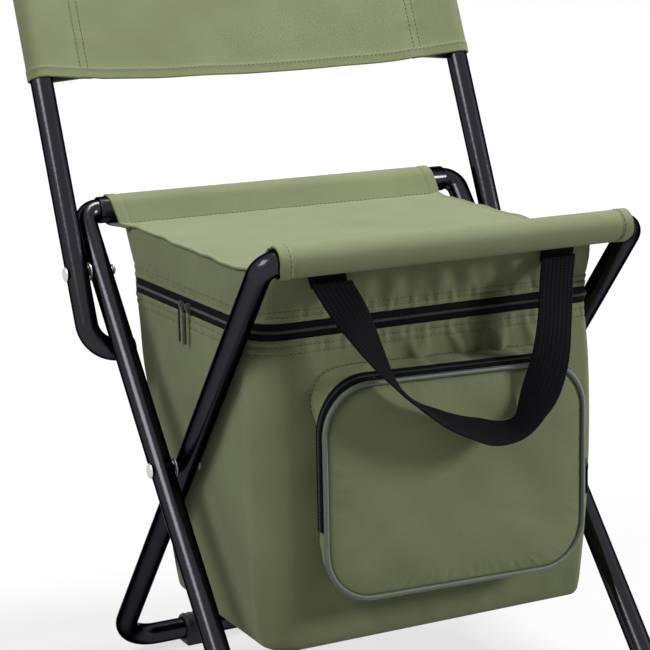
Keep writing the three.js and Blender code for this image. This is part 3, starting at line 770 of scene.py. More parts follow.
class STOOL_OT_rails(bpy.types.Operator):
    """Rails: sleeves over the ends of the leg tubes, with rounded lips"""

    bl_idname = "stool.rails"
    bl_label = "Rails"

    def execute(self, context):
        s = sizes()
        for name, body, x, side in (
                ("rear_rail", "outer_frame", s.outer_x, 1),
                ("front_rail", "inner_frame", s.inner_x, -1)):
            profile = ring_profile(s.rail, s.tube + GAP, x - RAIL_BEND - GAP, edge=0.5 * MM)
            rail = turned(name + "_sleeve", profile, (0, *rail_place(side)), 1, close=True)
            finish(rail, body, gloss_paint(), "black_paint", name)
        return {"FINISHED"}


class STOOL_OT_rivets(bpy.types.Operator):
    """Rivets with domed heads and peened tails, washers between the tubes, and plugs in the hook ends"""

    bl_idname = "stool.rivets"
    bl_label = "Rivets"

    def execute(self, context):
        s = sizes()
        grip = 33.7 * MM
        shank = 2.5 * MM
        flange = 5.0 * MM
        head_radius, head_height = 5.2 * MM, 2.2 * MM
        washer_half = 0.4 * MM
        dome = np.linspace(0, math.pi / 2, 9)
        head = np.stack([head_radius * np.cos(dome), grip + head_height * np.sin(dome)], 1)
        tail = MM * np.array([
            (0, -2.5), (1.6, -2.5), (2.9, -2.1), (3.8, -1.3), (4, -0.5), (3.8, -0.3), (2.5, -0.3)])
        profile = np.concatenate([tail, [(shank, 0), (shank, grip), (flange, grip)], head])
        ring = ring_profile(outer=6.5 * MM, inner=2.9 * MM, half=washer_half, edge=0.15 * MM)
        places = {
            "cross": (s.inner_x - s.tube, (PIVOT_Y, PIVOT_Z)),
            "backrest": (s.outer_x - s.tube, JOINT["backrest_fold"]["pos_m"][1:]),
        }
        for group, (x, place) in places.items():
            for word, side in SIDES:
                rivet = turned(f"{group}_{word}_rivet", profile, (side * x, *place), side)
                finish(rivet, "outer_frame", rivet_steel(), "bright_steel", f"{group}_rivet_{word}")
                middle = side * (x + 2 * s.tube + GAP + washer_half)
                washer = turned(f"{group}_{word}_washer", ring, (middle, *place), 1, close=True)
                finish(washer, "outer_frame", rivet_steel(), "bright_steel", f"{group}_washer_{word}")
        self.plugs(s)
        return {"FINISHED"}

    def plugs(self, s):
        """A flange with a rounded rim and a spigot, set in the end of each hook."""
        rim = [(0, -1.9), (6, -1.9), (7.3, -1.6), (7.9, -0.9), (7.9, -0.3)]
        spigot = [(6.6, -0.3), (6.6, 5.7), (0, 5.7)]
        profile = np.array(rim + spigot) * MM
        for word, side in SIDES:
            at = lean_back(np.array([side * (s.back_x - HOOK_REACH), 0, -hook_drop()]))
            plug = turned(f"{word}_hook_plug", profile, at, side)
            finish(plug, "backrest", foot_plastic(), "black_plastic", f"hook_plug_{word}")


class STOOL_OT_feet(bpy.types.Operator):
    """Foot clips: a ribbed sleeve on the floor bar with a flat sole"""

    bl_idname = "stool.feet"
    bl_label = "Feet"

    def execute(self, context):
        s = sizes()
        out = 72 * MM
        for end, body, leg in (("front", "outer_frame", 1), ("rear", "inner_frame", -1)):
            y, z = leg_end(-s.to_floor, leg)
            for word, side in SIDES:
                grid = self.clip() + (side * out, y, z)
                foot = surface(f"{end}_{word}_foot", grid, close_rows=True, close_columns=True)
                finish(foot, body, foot_plastic(), "black_plastic", f"{end}_foot_{word}")
        return {"FINISHED"}

    def clip(self):
        """Arch on a flat sole in mm, carried along X with rounded ends and low ribs, then the bore back."""
        radius, bore = 10.6, 8.05
        sole_half, sole_drop = 8.5, 12.0
        half, rounding = 11.0, 1.2
        rib_pitch, rib_height = 4.4, 0.45
        arch = np.linspace(math.radians(-20), math.radians(200), 40)
        outer = radius * np.stack([np.cos(arch), np.sin(arch)], 1)
        sole = np.stack([np.linspace(-sole_half, sole_half, 14), np.full(14, -sole_drop)], 1)
        loop = np.concatenate([outer, sole])
        angle = np.linspace(math.radians(-20), math.radians(340), len(loop), endpoint=False)
        inner = bore * np.stack([np.cos(angle), np.sin(angle)], 1)
        along = np.linspace(-half, half, 67)
        end = np.clip((half - np.abs(along)) / rounding, 0, 1)
        round_off = 0.9 * (1 - np.sqrt(end * (2 - end)))
        ribs = np.clip(np.cos(2 * math.pi * along / rib_pitch), 0, 1) * (np.abs(along) < half - 1)
        upper = np.clip((loop[:, 1] + 4) / 6, 0, 1)
        swell = 1 + (rib_height * ribs[:, None] * upper[None] - round_off[:, None]) / radius
        shell = loop[None] * swell[:, :, None]
        shell[:, :, 1] = np.maximum(shell[:, :, 1], -sole_drop)
        rows = np.concatenate([shell, np.repeat(inner[None], len(along), 0)])
        x = np.concatenate([along, along[::-1]])
        return np.concatenate([np.repeat(x[:, None, None], len(loop), 1), rows], -1) * MM


# Cloth on the frames


def arc(centre, radius, start, end, count):
    """Points of a circle in a plane from one angle to another, in degrees."""
    angle = np.radians(np.linspace(start, end, count))
    return np.stack([centre[0] + radius * np.cos(angle), centre[1] + radius * np.sin(angle)], 1)


def touching(point, radius):
    """Angles in degrees at which the two lines from a point touch a circle about the origin."""
    away = math.degrees(math.atan2(point[1], point[0]))
    half = math.degrees(math.acos(radius / math.hypot(*point)))
    return away - half, away + half


# Depth of the backrest cloth's sleeves in mm, from the middle of a tube to the seam
BACK_SLEEVE = 29.0


class STOOL_OT_backrest_cloth(bpy.types.Operator):
    """Backrest cloth: one band with a teardrop sleeve round each tube, hemmed and double stitched"""

    bl_idname = "stool.backrest_cloth"
    bl_label = "Backrest Cloth"

    def execute(self, context):
        s = sizes()
        line = self.cut(s) * MM
        run = run_lengths(line)
        low, high = 141 * MM, 288 * MM
        edge = np.array([0, 0.4, 1, 2, 3.4, 5, 6, 7, 7.8, 9]) * MM
        middle = np.linspace(low + 14 * MM, high - 14 * MM, 44)
        rows = np.concatenate([low + edge, middle, high - edge[::-1]])
        x, y = line[:, 0], line[:, 1]
        sideways = np.cross(np.append(along_path(line), np.zeros((len(line), 1)), 1), (0, 0, 1))
        band = smooth(0, 18 * MM, s.back_x - 31 * MM - np.abs(x))
        hem = np.minimum(rows - low, high - rows)
        slack = ripple(x[None], 95 * MM, 1) * hump(rows[:, None], low + 10 * MM, 60 * MM) * band
        pull = ripple(rows[:, None], 23 * MM, 2) * hump(np.abs(x)[None], s.back_x - 36 * MM, 14 * MM)
        groove = hump(hem, 6.6 * MM, 1.2 * MM)[:, None]
        lift = MM * (1.3 * slack + 0.35 * pull - 0.45 * groove)
        lower = (1 - smooth(low, low + 70 * MM, rows))[:, None]
        sag = 2.6 * MM * band * (1 - (x / s.back_x) ** 2) * lower
        moved = [x + sideways[:, 0] * lift, y + sideways[:, 1] * lift, rows[:, None] - sag]
        flat = beside(*moved)
        thick = s.cloth * (1 + 0.7 * (1 - smooth(5.6 * MM, 7.2 * MM, hem)))[:, None] * np.ones_like(run)
        uv = beside(run[None], rows[:, None])
        cloth = sheet_of("backrest_band", lean_back(flat), uv, thick)
        finish(cloth, "backrest", oxford(), "olive_cloth", "backrest_cloth")
        seams = finish(self.seams(s, flat, rows, x), "backrest", thread(), "olive_cloth")
        return {"FINISHED"}

    def cut(self, s):
        """Line of the cloth from above, in mm: a flap, round a tube, along the front, and the same back."""
        bore = 8.9
        bow = 6.0
        tube = s.back_x / MM
        inner = tube - BACK_SLEEVE
        corner = math.degrees(math.acos(bore / BACK_SLEEVE))
        wrap = arc((tube, 0), bore, 180 - corner, -180 + corner, 40)
        flap = np.array([(inner - 9, 1.9), (inner, 1.5)])
        across = np.linspace(inner, -inner, 60)[1:-1]
        front = np.stack([across, -0.1 + bow * (1 - (across / inner) ** 2)], 1)
        right = np.concatenate([flap, wrap, [(inner, 0)]])
        left = right[::-1] * (-1, 1)
        return even_line(np.concatenate([right, front, left]), 420)

    def seams(self, s, flat, rows, x):
        """Two rows of stitches beside each sleeve and one along each hem, on the front face."""
        middle = len(x) // 2
        front = np.arange(middle - 174, middle + 175)
        hem = slice(middle - 168, middle + 168)
        inner = s.back_x - BACK_SLEEVE * MM
        runs = []
        for wanted in (-inner + 1 * MM, -inner + 7 * MM, inner - 1 * MM, inner - 7 * MM):
            column = front[np.argmin(np.abs(x[front] - wanted))]
            runs.append(flat[:, column] - (0, 0.55 * MM, 0))
        for wanted in (rows[0] + 6 * MM, rows[-1] - 6 * MM):
            row = np.argmin(np.abs(rows - wanted))
            runs.append(flat[row, hem] - (0, 0.62 * MM, 0))
        lines = [(lean_back(points), np.repeat(self.forwards(s), len(points), 0)) for points in runs]
        return stitches("backrest_seams", lines)

    def forwards(self, s):
        """The direction the backrest faces."""
        return np.array([[0, -math.cos(s.back_lean), math.sin(s.back_lean)]])


# Seat in mm: its sleeves round the rails, its seams before and behind them, the ends of its flaps, the place
# where its two cloths meet, and its half width as cut
SLEEVE_RADIUS = 10.05
REAR_SEAM = 15.5
FRONT_SEAM = 18.5
FLAP_END = 25.0
MEETING = 6.75


def seat_height(behind):
    """Height of the seat cloth above the rails, by the distance behind the front rail, in mm.

    It lies almost flat in front of the rear rail and climbs to the front one along a parabola.
    """
    rise, span = 5, 261.2
    climb_run, climb_top = 53, 8.04
    low = rise * behind / span - in_mm(sizes().seat_drop)
    climb = 1 - np.clip((behind - MEETING) / climb_run, 0, 1)
    return low + (climb_top - low) * climb ** 2


class STOOL_OT_seat(bpy.types.Operator):
    """Seat: a cloth round the rear rail and across the frame, and the one sewn to it round the front rail"""

    bl_idname = "stool.seat"
    bl_label = "Seat"

    def execute(self, context):
        span = (rail_place(1)[0] - rail_place(-1)[0]) / MM
        sling_line = even_line(self.rear(span), 230)
        sleeve_line = even_line(self.front(), 90)
        sling_half = self.sling_half(sling_line, span)
        sleeve_half = self.sleeve_half(sleeve_line)
        sling, used, rows = self.strip("seat_cloth", sling_line, span, sling_half)
        sleeve, total, hem_rows = self.strip("seat_front_cloth", sleeve_line, span, sleeve_half, used)
        finish(sling, "outer_frame", oxford(), "olive_cloth", "seat_sling")
        finish(sleeve, "inner_frame", oxford(), "olive_cloth", "seat_front_sleeve")
        seams = stitches("seat_seams", rows, radius=0.5 * MM)
        finish(seams, "outer_frame", thread(), "olive_cloth")
        hems = stitches("seat_front_seams", hem_rows)
        finish(hems, "inner_frame", thread(), "olive_cloth")
        fold_with_legs(sling, seams)
        return {"FINISHED"}

    def rear(self, span):
        """(behind, height) in mm from the rear flap, round the rear rail and along to the front rail."""
        ply = 1.2
        start = span - REAR_SEAM
        seam = np.array([start, seat_height(start)])
        under = seam - (0, ply)
        low = touching(under - (span, 0), SLEEVE_RADIUS)[1] % 360
        high = touching(seam - (span, 0), SLEEVE_RADIUS)[0] % 360
        flap = np.linspace(span - FLAP_END, start, 6)
        flap = np.stack([flap, seat_height(flap) - ply], 1)
        loop = arc((span, 0), SLEEVE_RADIUS, low, 360 + high, 50)
        sheet = np.linspace(start, MEETING, 160)
        return np.concatenate([flap, loop, np.stack([sheet, seat_height(sheet)], 1)])

    def front(self):
        """(behind, height) in mm from the top of the front rail, round it and to the flap under the seat."""
        ply = 1.3
        top = 50
        seam = np.array([FRONT_SEAM, seat_height(FRONT_SEAM) - ply])
        low = touching(seam, SLEEVE_RADIUS)[0] % 360
        loop = arc((0, 0), SLEEVE_RADIUS, top, low, 60)
        flap = np.linspace(FRONT_SEAM, FLAP_END, 6)
        return np.concatenate([loop, np.stack([flap, seat_height(flap) - ply], 1)])

    def sling_half(self, line, span):
        """Half the sling's width in mm: drawn in a little between the rails."""
        share = np.clip(line[:, 0] / span, 0, 1)
        return 126.2 + 4.3 * smooth(0.85, 0.97, share) + 1.0 * smooth(0.2, 0.02, share)

    def sleeve_half(self, line):
        """Half the front sleeve's width in mm: cut short below, where it meets the legs."""
        angle = np.arctan2(line[:, 1], line[:, 0])
        return 124.9 + 2.3 * smooth(-0.3, 0.6, np.cos(angle - math.radians(140)))

    def strip(self, name, line, span, half, start=0.0):
        """Cloth along a line of (behind, height): across it x = half u, raised by hems and small waves.

        Gives the piece, the length of cloth so far and its rows of stitches.
        """
        run = run_lengths(line)
        behind = line[:, :1]
        tangent = along_path(line)
        normal = np.stack([tangent[:, 1], -tangent[:, 0]], 1)
        edge = np.array([0, 0.3, 1, 2, 3.5, 5, 6.5, 7.5, 8.4, 9.4, 11, 14, 18, 24])
        x = np.concatenate([
            edge[None] - half[:, None],
            np.linspace(-1, 1, 64)[None] * (half[:, None] - 30),
            half[:, None] - edge[None, ::-1]], 1)
        inset = half[:, None] - np.abs(x)
        x = x - 3.2 * smooth(0.93, 0.99, behind / span)
        flat = smooth(8, 45, behind) * smooth(8, 40, span - behind)
        hem = 1 - flat
        hems = -0.5 * hem * hump(inset, 8, 1.3) + 0.5 * flat * hump(inset, 0.8, 1.0)
        edge_waves = 0.7 * flat * ripple(run[:, None] + 37 * np.sign(x), 41) * np.exp(-inset / 20)
        slow_waves = 0.8 * flat * ripple(0.6 * x + behind, 88, 3) * ripple(x - 0.4 * behind, 120, 1)
        rear_puckers = 0.3 * ripple(x, 26, 2) * hump(behind, span - 17, 7)
        front_puckers = 0.3 * ripple(x, 24, 5) * hump(behind, 19, 7)
        lift = hems - edge_waves + slow_waves + rear_puckers + front_puckers
        y0, z0 = rail_place(-1)
        points = np.stack([
            x * MM,
            y0 + MM * (behind + normal[:, :1] * lift),
            z0 + MM * (line[:, 1:] + normal[:, 1:] * lift)], -1)
        doubled = 0.8 * hem * (1 - smooth(7.4, 9, inset)) + 0.9 * flat * (1 - smooth(1.6, 2.4, inset))
        uv = beside(x * MM, start + MM * run[:, None])
        piece = sheet_of(name, points, uv, sizes().cloth * (1 + doubled))
        up = np.append(0 * behind, normal, 1)
        seams = []
        if start > 0:
            for column in (6, -7):
                seams.append((points[:, column] + 0.9 * MM * up, up))
        else:
            round_rail = run < 60
            row = np.argmin(np.abs(line[:, 0] - (span - REAR_SEAM)) + span * round_rail)
            across = points[row, 4:-4] + 0.75 * MM * up[row]
            seams.append((across, np.repeat(up[row][None], len(across), 0)))
        return piece, start + MM * run[-1], seams


# The bag: loops seen from above, one at each height, in mm

# Steps along each run of a loop, and the columns between which the zip runs
REAR_STEPS = 40
TURN_STEPS = 16
SIDE_STEPS = 110
FRONT_STEPS = 150
LOOP = 2 * (REAR_STEPS + SIDE_STEPS) + FRONT_STEPS + 4 * TURN_STEPS
ZIP_START = REAR_STEPS + TURN_STEPS
ZIP_END = LOOP - ZIP_START

# Heights of the zip and the belly, and the bag's half width, front and rear from its bottom up
BAG_TOP = 286.3
BAG_BELLY = 176.3
BAG_HALF = (118.0, 123.4)
BAG_FRONT = (-133.3, -139.3, -134.0)
BAG_REAR = (27.0, 50.5, 78.0)

# Radii of the bag's corners: both at the rear, at the front right and at the front left
CORNER = 12.0
TIGHT = 6.0
LEFT = 21.0

# Cloth beside the zip: how far its edge is from the teeth, the rows of its grid and its rows of stitches
ZIP_EDGE = 5.7
EDGE_STEPS = np.array([0, 0.5, 1.2, 2, 3, 4, 5, 6, 7, 8, 9])
SEAM_ROWS = (4.0, 9.0)

# Gathers in the front below the zip: place, tilt, half width and height
GATHERS = (
    (-42, 0.3, 5, 1.3), (-20, 0.35, 4, 2.0), (-4, -0.2, 6, 2.4), (13, 0.4, 4, 2.6),
    (27, 0.15, 5, 2.2), (41, 0.45, 4, 2.9), (55, -0.25, 5, 2.4), (71, 0.3, 4, 1.8),
)


def bag_loop(half, front, rear, corner, tight=None, left=None):
    """Rounded rectangles, one a row: from the middle of the rear to the left, the front and the right.

    Straight runs x or y = constant, and quarter circles centre + r (cos(a), sin(a)) between them. The
    corner at the front right has the radius tight and the one at the front left has the radius left.
    """
    tight = corner if tight is None else tight
    left = corner if left is None else left
    half, front, rear, corner, tight, left = (
        np.atleast_1d(np.asarray(v, float))[:, None] for v in (half, front, rear, corner, tight, left))
    flat, short, long = half - corner, half - tight, half - left

    def share(steps):
        """Even steps from 0 to 1, without the last."""
        return np.linspace(0, 1, steps, endpoint=False)[None]

    def level(steps):
        """As many zeros."""
        return np.zeros((1, steps))

    def turn(x, y, radius, start):
        """A quarter of a circle from an angle in degrees."""
        angle = np.radians(start) + math.pi / 2 * share(TURN_STEPS)
        return x + radius * np.cos(angle), y + radius * np.sin(angle)

    back = rear - corner
    runs = [
        (-flat * share(REAR_STEPS), rear + level(REAR_STEPS)),
        turn(-flat, back, corner, 90),
        (-half + level(SIDE_STEPS), back - (back - front - left) * share(SIDE_STEPS)),
        turn(-long, front + left, left, 180),
        (-long + (long + short) * share(FRONT_STEPS), front + level(FRONT_STEPS)),
        turn(short, front + tight, tight, 270),
        (half + level(SIDE_STEPS), front + tight + (back - front - tight) * share(SIDE_STEPS)),
        turn(flat, back, corner, 0),
        (flat * (1 - share(REAR_STEPS)), rear + level(REAR_STEPS)),
    ]
    size = max(len(half), len(front), len(rear))
    x = np.concatenate([np.broadcast_to(r[0], (size, r[0].shape[1])) for r in runs], 1)
    y = np.concatenate([np.broadcast_to(r[1], (size, r[1].shape[1])) for r in runs], 1)
    return x, y


def outwards(x, y):
    """Unit normals that point out of closed loops (rows, columns)."""
    dx = np.roll(x, -1, 1) - np.roll(x, 1, 1)
    dy = np.roll(y, -1, 1) - np.roll(y, 1, 1)
    size = np.maximum(np.hypot(dx, dy), TINY)
    return dy / size, -dx / size


def around(x, y):
    """Distance round the first loop from its first point, for every column."""
    step = np.hypot(np.diff(x[0]), np.diff(y[0]))
    return np.concatenate([[0], np.cumsum(step)])[None]


def bag_bottom():
    """Height of the bag's bottom."""
    return BAG_TOP - in_mm(sizes().tub_depth)


def through(z, low, middle, high):
    """Parabola in z through the bag's values at its bottom, belly and zip."""
    a, b, c = bag_bottom(), BAG_BELLY, BAG_TOP
    return (
        low * (z - b) * (z - c) / ((a - b) * (a - c))
        + middle * (z - a) * (z - c) / ((b - a) * (b - c))
        + high * (z - a) * (z - b) / ((c - a) * (c - b)))


def bag_at(z, inset=0.0):
    """Loops of the bag at the heights z, moved in by inset."""
    half = through(z, *BAG_HALF, in_mm(sizes().bag_half)) - inset
    front = through(z, *BAG_FRONT) + inset
    rear = through(z, *BAG_REAR) - inset
    corner, tight, left = (r + 0 * z - 0.6 * inset for r in (CORNER, TIGHT, LEFT))
    return bag_loop(half, front, rear, corner, tight, left)


def cup(z, floor, inset):
    """Wall and floor of a bag: loops down the heights z, a rounded edge, then loops to the middle."""
    edge = 6.0
    shrink = np.array([0.93, 0.8, 0.6, 0.4, 0.2, 0.05, 0.0])[:, None]
    x, y = bag_at(z, inset)
    turn = np.linspace(0.15, 1, 7) * math.pi / 2
    low_z = floor + edge * (1 - np.sin(turn))
    low_x, low_y = bag_at(low_z, inset)
    nx, ny = outwards(low_x, low_y)
    pull = edge * (1 - np.cos(turn))[:, None]
    low_x, low_y = low_x - nx * pull, low_y - ny * pull
    middle = (low_y.max() + low_y.min()) / 2
    flat_x, flat_y = low_x[-1:] * shrink, middle + (low_y[-1:] - middle) * shrink
    heights = np.concatenate([z, low_z, np.full(len(shrink), floor)])
    return np.concatenate([x, low_x, flat_x]), np.concatenate([y, low_y, flat_y]), heights[:, None]


def placed(x, y, z):
    """Points in metres from arrays in mm."""
    return MM * beside(x, y, z)


def sewn_edge(away, run, seed):
    """Relief of cloth beside the zip, by the distance from its edge: a lip, sunk stitches and puckers."""
    lift = 0.25 * hump(away, 1.4, 1.4)
    for row in SEAM_ROWS:
        lift = lift - 0.6 * hump(away, row, 0.9)
    return lift + 0.7 * ripple(run, 9.5, seed) * hump(away, 5, 6)


def zip_seams(name, points, out):
    """Rows of stitches on the cloth beside the zip, as far as the zip runs."""
    keep = slice(ZIP_START, ZIP_END)
    rows = np.searchsorted(EDGE_STEPS, SEAM_ROWS)
    return stitches(name, [(points[row, keep] + 0.55 * MM * out[row, keep], out[row, keep]) for row in rows])


class STOOL_OT_tub(bpy.types.Operator):
    """Tub of the cooler: cloth shell with folds, foam wall, foil liner and a stiff board in its floor"""

    bl_idname = "stool.tub"
    bl_label = "Tub"

    def execute(self, context):
        s = sizes()
        top = zip_height() / MM - ZIP_EDGE
        bottom = bag_bottom()
        shell, stitching = self.shell(s, top)
        finish(shell, "cooler_tub", oxford(), "olive_cloth", "tub_shell")
        finish(stitching, "cooler_tub", thread(), "olive_cloth")
        foam = self.wall("tub_foam_wall", bottom + 4.3, inset=4.3, thick=2.8)
        finish(foam, "cooler_tub", white_foam(), "white_foam", "tub_foam")
        liner = self.wall("tub_foil", bottom + 9.4, inset=6.3, thick=0.6)
        finish(liner, "cooler_tub", silver_foil(), "silver_liner", "tub_liner")
        board = slab("tub_floor_board", (106, -122.3, 15.7), (bottom + 6.3, bottom + 8.3), corner=14)
        finish(board, "cooler_tub", grey_board(), "grey_board", "base_board")
        fold_with_legs(shell, stitching, foam, liner, board)
        return {"FINISHED"}

    def wall(self, name, floor, inset, thick):
        """A plain cup inside the shell."""
        top = 279.5
        x, y, z = cup(np.linspace(top, floor + 9, 30), floor, inset)
        uv = MM * beside(around(x, y), z)
        return sheet_of(name, placed(x, y, z), uv, thick * MM, close_columns=True, pole=True)

    def shell(self, s, top):
        """The outer cloth: the cup, moved out and in by gathers at the zip, waves, and a ridge and a hollow
        at its front left corner."""
        deepest = -2.0
        leg_room = 125.2
        steps = np.append(EDGE_STEPS, (10.5, 12, 14))
        z = np.concatenate([top - steps, np.linspace(top - 17, bag_bottom() + 9.7, 62)])
        x, y, z = cup(z, bag_bottom() + 0.5, 0.0)
        run = around(x, y)
        nx, ny = outwards(x, y)
        wall = smooth(78, 90, z)
        front = np.clip(-ny, 0, 1) ** 2
        left = np.clip(-nx, 0, 1) ** 2
        drop = top - z
        lift = sewn_edge(drop, run, 1)
        for at, tilt, wide, high in GATHERS:
            lift = lift + high * front * hump(x - at - tilt * drop, 0, wide) * hump(drop, 17, 9)
        slow_waves = 0.9 * wall * ripple(run - 0.35 * z, 120, 4) * ripple(z + 0.2 * run, 95, 1)
        hollow = 2.0 * wall * hump(np.hypot(x + 113, 0.6 * (y + 137)), 0, 12) * hump(z, 175, 90)
        ridge = 3.0 * wall * hump(np.hypot(x + 123, y + 119), 0, 6.5) * hump(z, 165, 110)
        side_waves = 1.2 * wall * left * ripple(y + 0.45 * z, 64, 3) * hump(z, 215, 60)
        low_puckers = 0.7 * wall * ripple(run, 31, 6) * hump(z, 84, 9)
        lift = np.maximum(lift + slow_waves - hollow + ridge + side_waves + low_puckers, deepest)
        lift = np.where(np.abs(nx) > 0.7, np.minimum(lift, leg_room - np.abs(x)), lift)
        points = placed(x + nx * lift, y + ny * lift, z)
        uv = MM * beside(run, z)
        shell = sheet_of("tub_cloth", points, uv, s.cloth, close_columns=True, pole=True)
        out = beside(nx, ny, 0 * nx)
        return shell, zip_seams("tub_seams", points, out)


def slab(name, outline, heights, corner):
    """Flat slab with rounded edges: loops from the middle of its underside out and back over its top.

    The outline is its half width, front and rear.
    """
    half, front, rear = outline
    low, high = heights
    share = np.array([0, 0.3, 0.6, 0.85, 0.97, 0.993, 1, 1, 0.993, 0.97, 0.85, 0.6, 0.3, 0])[:, None]
    rise = np.array([0, 0, 0, 0, 0, 0.06, 0.3, 0.7, 0.94, 1, 1, 1, 1, 1])[:, None]
    x, y = bag_loop(half, front, rear, corner)
    middle = (front + rear) / 2
    grid = placed(x * share, middle + (y - middle) * share, low + (high - low) * rise)
    uv = np.concatenate([grid[..., :2], grid[:, :1, :2]], 1)
    return surface(name, grid, close_columns=True, uv=uv)


class STOOL_OT_band(bpy.types.Operator):
    """Band above the zip: cloth that flares from the zip up to the seat's edge, and the lid's foam"""

    bl_idname = "stool.band"
    bl_label = "Band"

    def execute(self, context):
        s = sizes()
        band, stitching = self.cloth(s)
        finish(band, "outer_frame", oxford(), "olive_cloth", "top_band")
        finish(stitching, "outer_frame", thread(), "olive_cloth")
        foam = slab("lid_foam_pad", (115.3, -143, 68.5), (320.8, 325.6), corner=20)
        finish(foam, "outer_frame", white_foam(), "white_foam", "lid_foam")
        fold_with_legs(band, stitching, foam)
        return {"FINISHED"}

    def cloth(self, s):
        """Loops from the lip at the zip to the seat, moved out and in by puckers, waves and stitches."""
        full = 44
        leg_room = 125.3
        low = zip_height() / MM + ZIP_EDGE
        steps = np.append(EDGE_STEPS, (11, 13)) / full
        share = np.concatenate([steps, np.linspace(0.36, 1, 26)])
        flare = smooth(0, 1, share)
        half, front, rear = 122.5 + 1.9 * flare, -134.1 - 19.7 * flare, BAG_REAR[-1] + 8 * flare
        x, y = bag_loop(half, front, rear, CORNER, TIGHT + 24 * flare, LEFT)
        share = share[:, None]
        run = around(x, y)
        y0, z0 = (v / MM for v in rail_place(-1))
        x = x + np.sign(x) * share ** 2 * smooth(-75, 40, y) * smooth(95, 119, np.abs(x))
        top = z0 + seat_height(y - y0) - 0.8
        z = low + (top - low) * share
        nx, ny = outwards(x, y)
        ahead = np.clip(-ny, 0, 1) ** 2
        front_waves = 3.0 * ahead * ripple(run, 30, 2) * hump(share, 0.55, 0.3)
        slow_waves = 0.6 * ripple(run, 41, 3) * hump(share, 0.6, 0.3)
        lift = sewn_edge(z - low, run, 5) + front_waves + slow_waves
        beside_legs = (np.abs(nx) > 0.6) & (y < -60)
        lift = np.where(beside_legs, np.minimum(lift, leg_room - np.abs(x)), lift)
        points = placed(x + nx * lift, y + ny * lift, z)
        uv = MM * beside(run, z)
        band = sheet_of("band_cloth", points, uv, s.cloth, close_columns=True)
        out = beside(nx, ny, 0 * nx)
        return band, zip_seams("band_seams", points, out)


# Half width and front of the main zip in mm, the pitch of the teeth and the thickness of the tapes
ZIP_HALF = 122.8
ZIP_FRONT = -134.2
TOOTH_PITCH = 1.5 * MM
TAPE = 0.9 * MM


class STOOL_OT_zip(bpy.types.Operator):
    """Zip round three sides of the bag: two tapes with meshing teeth, and the cloth hinge at the rear"""

    bl_idname = "stool.zip"
    bl_label = "Zip"

    def execute(self, context):
        level = zip_height() / MM
        x, y = bag_loop(ZIP_HALF, ZIP_FRONT, BAG_REAR[-1], CORNER, TIGHT, LEFT)
        nx, ny = outwards(x, y)
        keep = slice(ZIP_START + 1, ZIP_END - 1)
        line = np.stack([x[0, keep], y[0, keep]], 1)
        out = np.stack([nx[0, keep], ny[0, keep]], 1)
        made = []
        for word, body, side, shift in (("upper", "outer_frame", 1, 0.0), ("lower", "cooler_tub", -1, 0.5)):
            rise = side * np.array([0.3, 0.8, 1.6, 3.0, 4.5, 6.2])
            sunk = np.array([0.5, 0.5, 0.5, 0.4, 0.0, -1.2])
            x, y = (line[:, k:k + 1] + out[:, k:k + 1] * sunk for k in range(2))
            grid = placed(x, y, level + rise[None])
            run = run_lengths(line)[:, None] * MM
            uv = beside(run, rise[None] * MM)
            tape = sheet_of(f"zip_{word}_tape", grid, uv, TAPE)
            finish(tape, body, zip_tape(), "black_tape", f"zip_tape_{word}")
            teeth = self.teeth(f"zip_{word}_teeth", line, out, level + side * 0.4, shift)
            finish(teeth, body, zip_teeth(), "black_tape")
            made += [tape, teeth]
        strip = self.hinge(level)
        finish(strip, "outer_frame", oxford(), "olive_cloth", "rear_hinge_strip")
        fold_with_legs(*made, strip)
        return {"FINISHED"}

    def teeth(self, name, line, out, level, shift):
        """A row of flat beads across the tape, moved half a pitch for the row that meshes with it."""
        points = np.concatenate([line + 1.0 * out, np.full((len(line), 1), level)], 1) * MM
        run = run_lengths(points)
        even = np.arange(shift * TOOTH_PITCH, run[-1], TOOTH_PITCH)
        ups = np.append(out, 0 * out[:, :1], 1)
        at, up = (read_at(even, run, values) for values in (points, ups))
        return beads(name, at, along_path(at), up, (0.5 * MM, 0.8 * MM, 0.8 * MM))

    def hinge(self, level):
        """The part of the same loop behind the tapes' ends, as a plain strip of cloth."""
        half = 6.2
        x, y = bag_loop(in_mm(sizes().bag_half), ZIP_FRONT, BAG_REAR[-1] - 0.2, CORNER, TIGHT, LEFT)
        loop = np.stack([x[0], y[0]], 1)
        line = np.concatenate([loop[ZIP_END + 1:], loop[:ZIP_START - 1]])
        rise = np.linspace(-half, half, 9)
        grid = placed(line[:, :1], line[:, 1:], level + rise[None])
        uv = beside(MM * run_lengths(line)[:, None], MM * rise[None])
        return sheet_of("hinge_cloth", grid, uv, sizes().cloth)


# The pocket: loops seen from the front, one at each depth, in mm

POCKET_LOW = 110.6
POCKET_HIGH = 252.6
POCKET_HALF = 97.0
POCKET_MIDDLE = 6.7
POCKET_CORNER = 33.0
POCKET_TILT = 0.025


def pocket_loop(grow):
    """Rounded rectangle in (x, z), grown by grow: from the middle of its top to the left and round."""
    x, z = bag_loop(POCKET_HALF + grow, POCKET_LOW - grow, POCKET_HIGH + grow, POCKET_CORNER + grow)
    return x[0] + POCKET_MIDDLE, z[0] - POCKET_TILT * x[0]


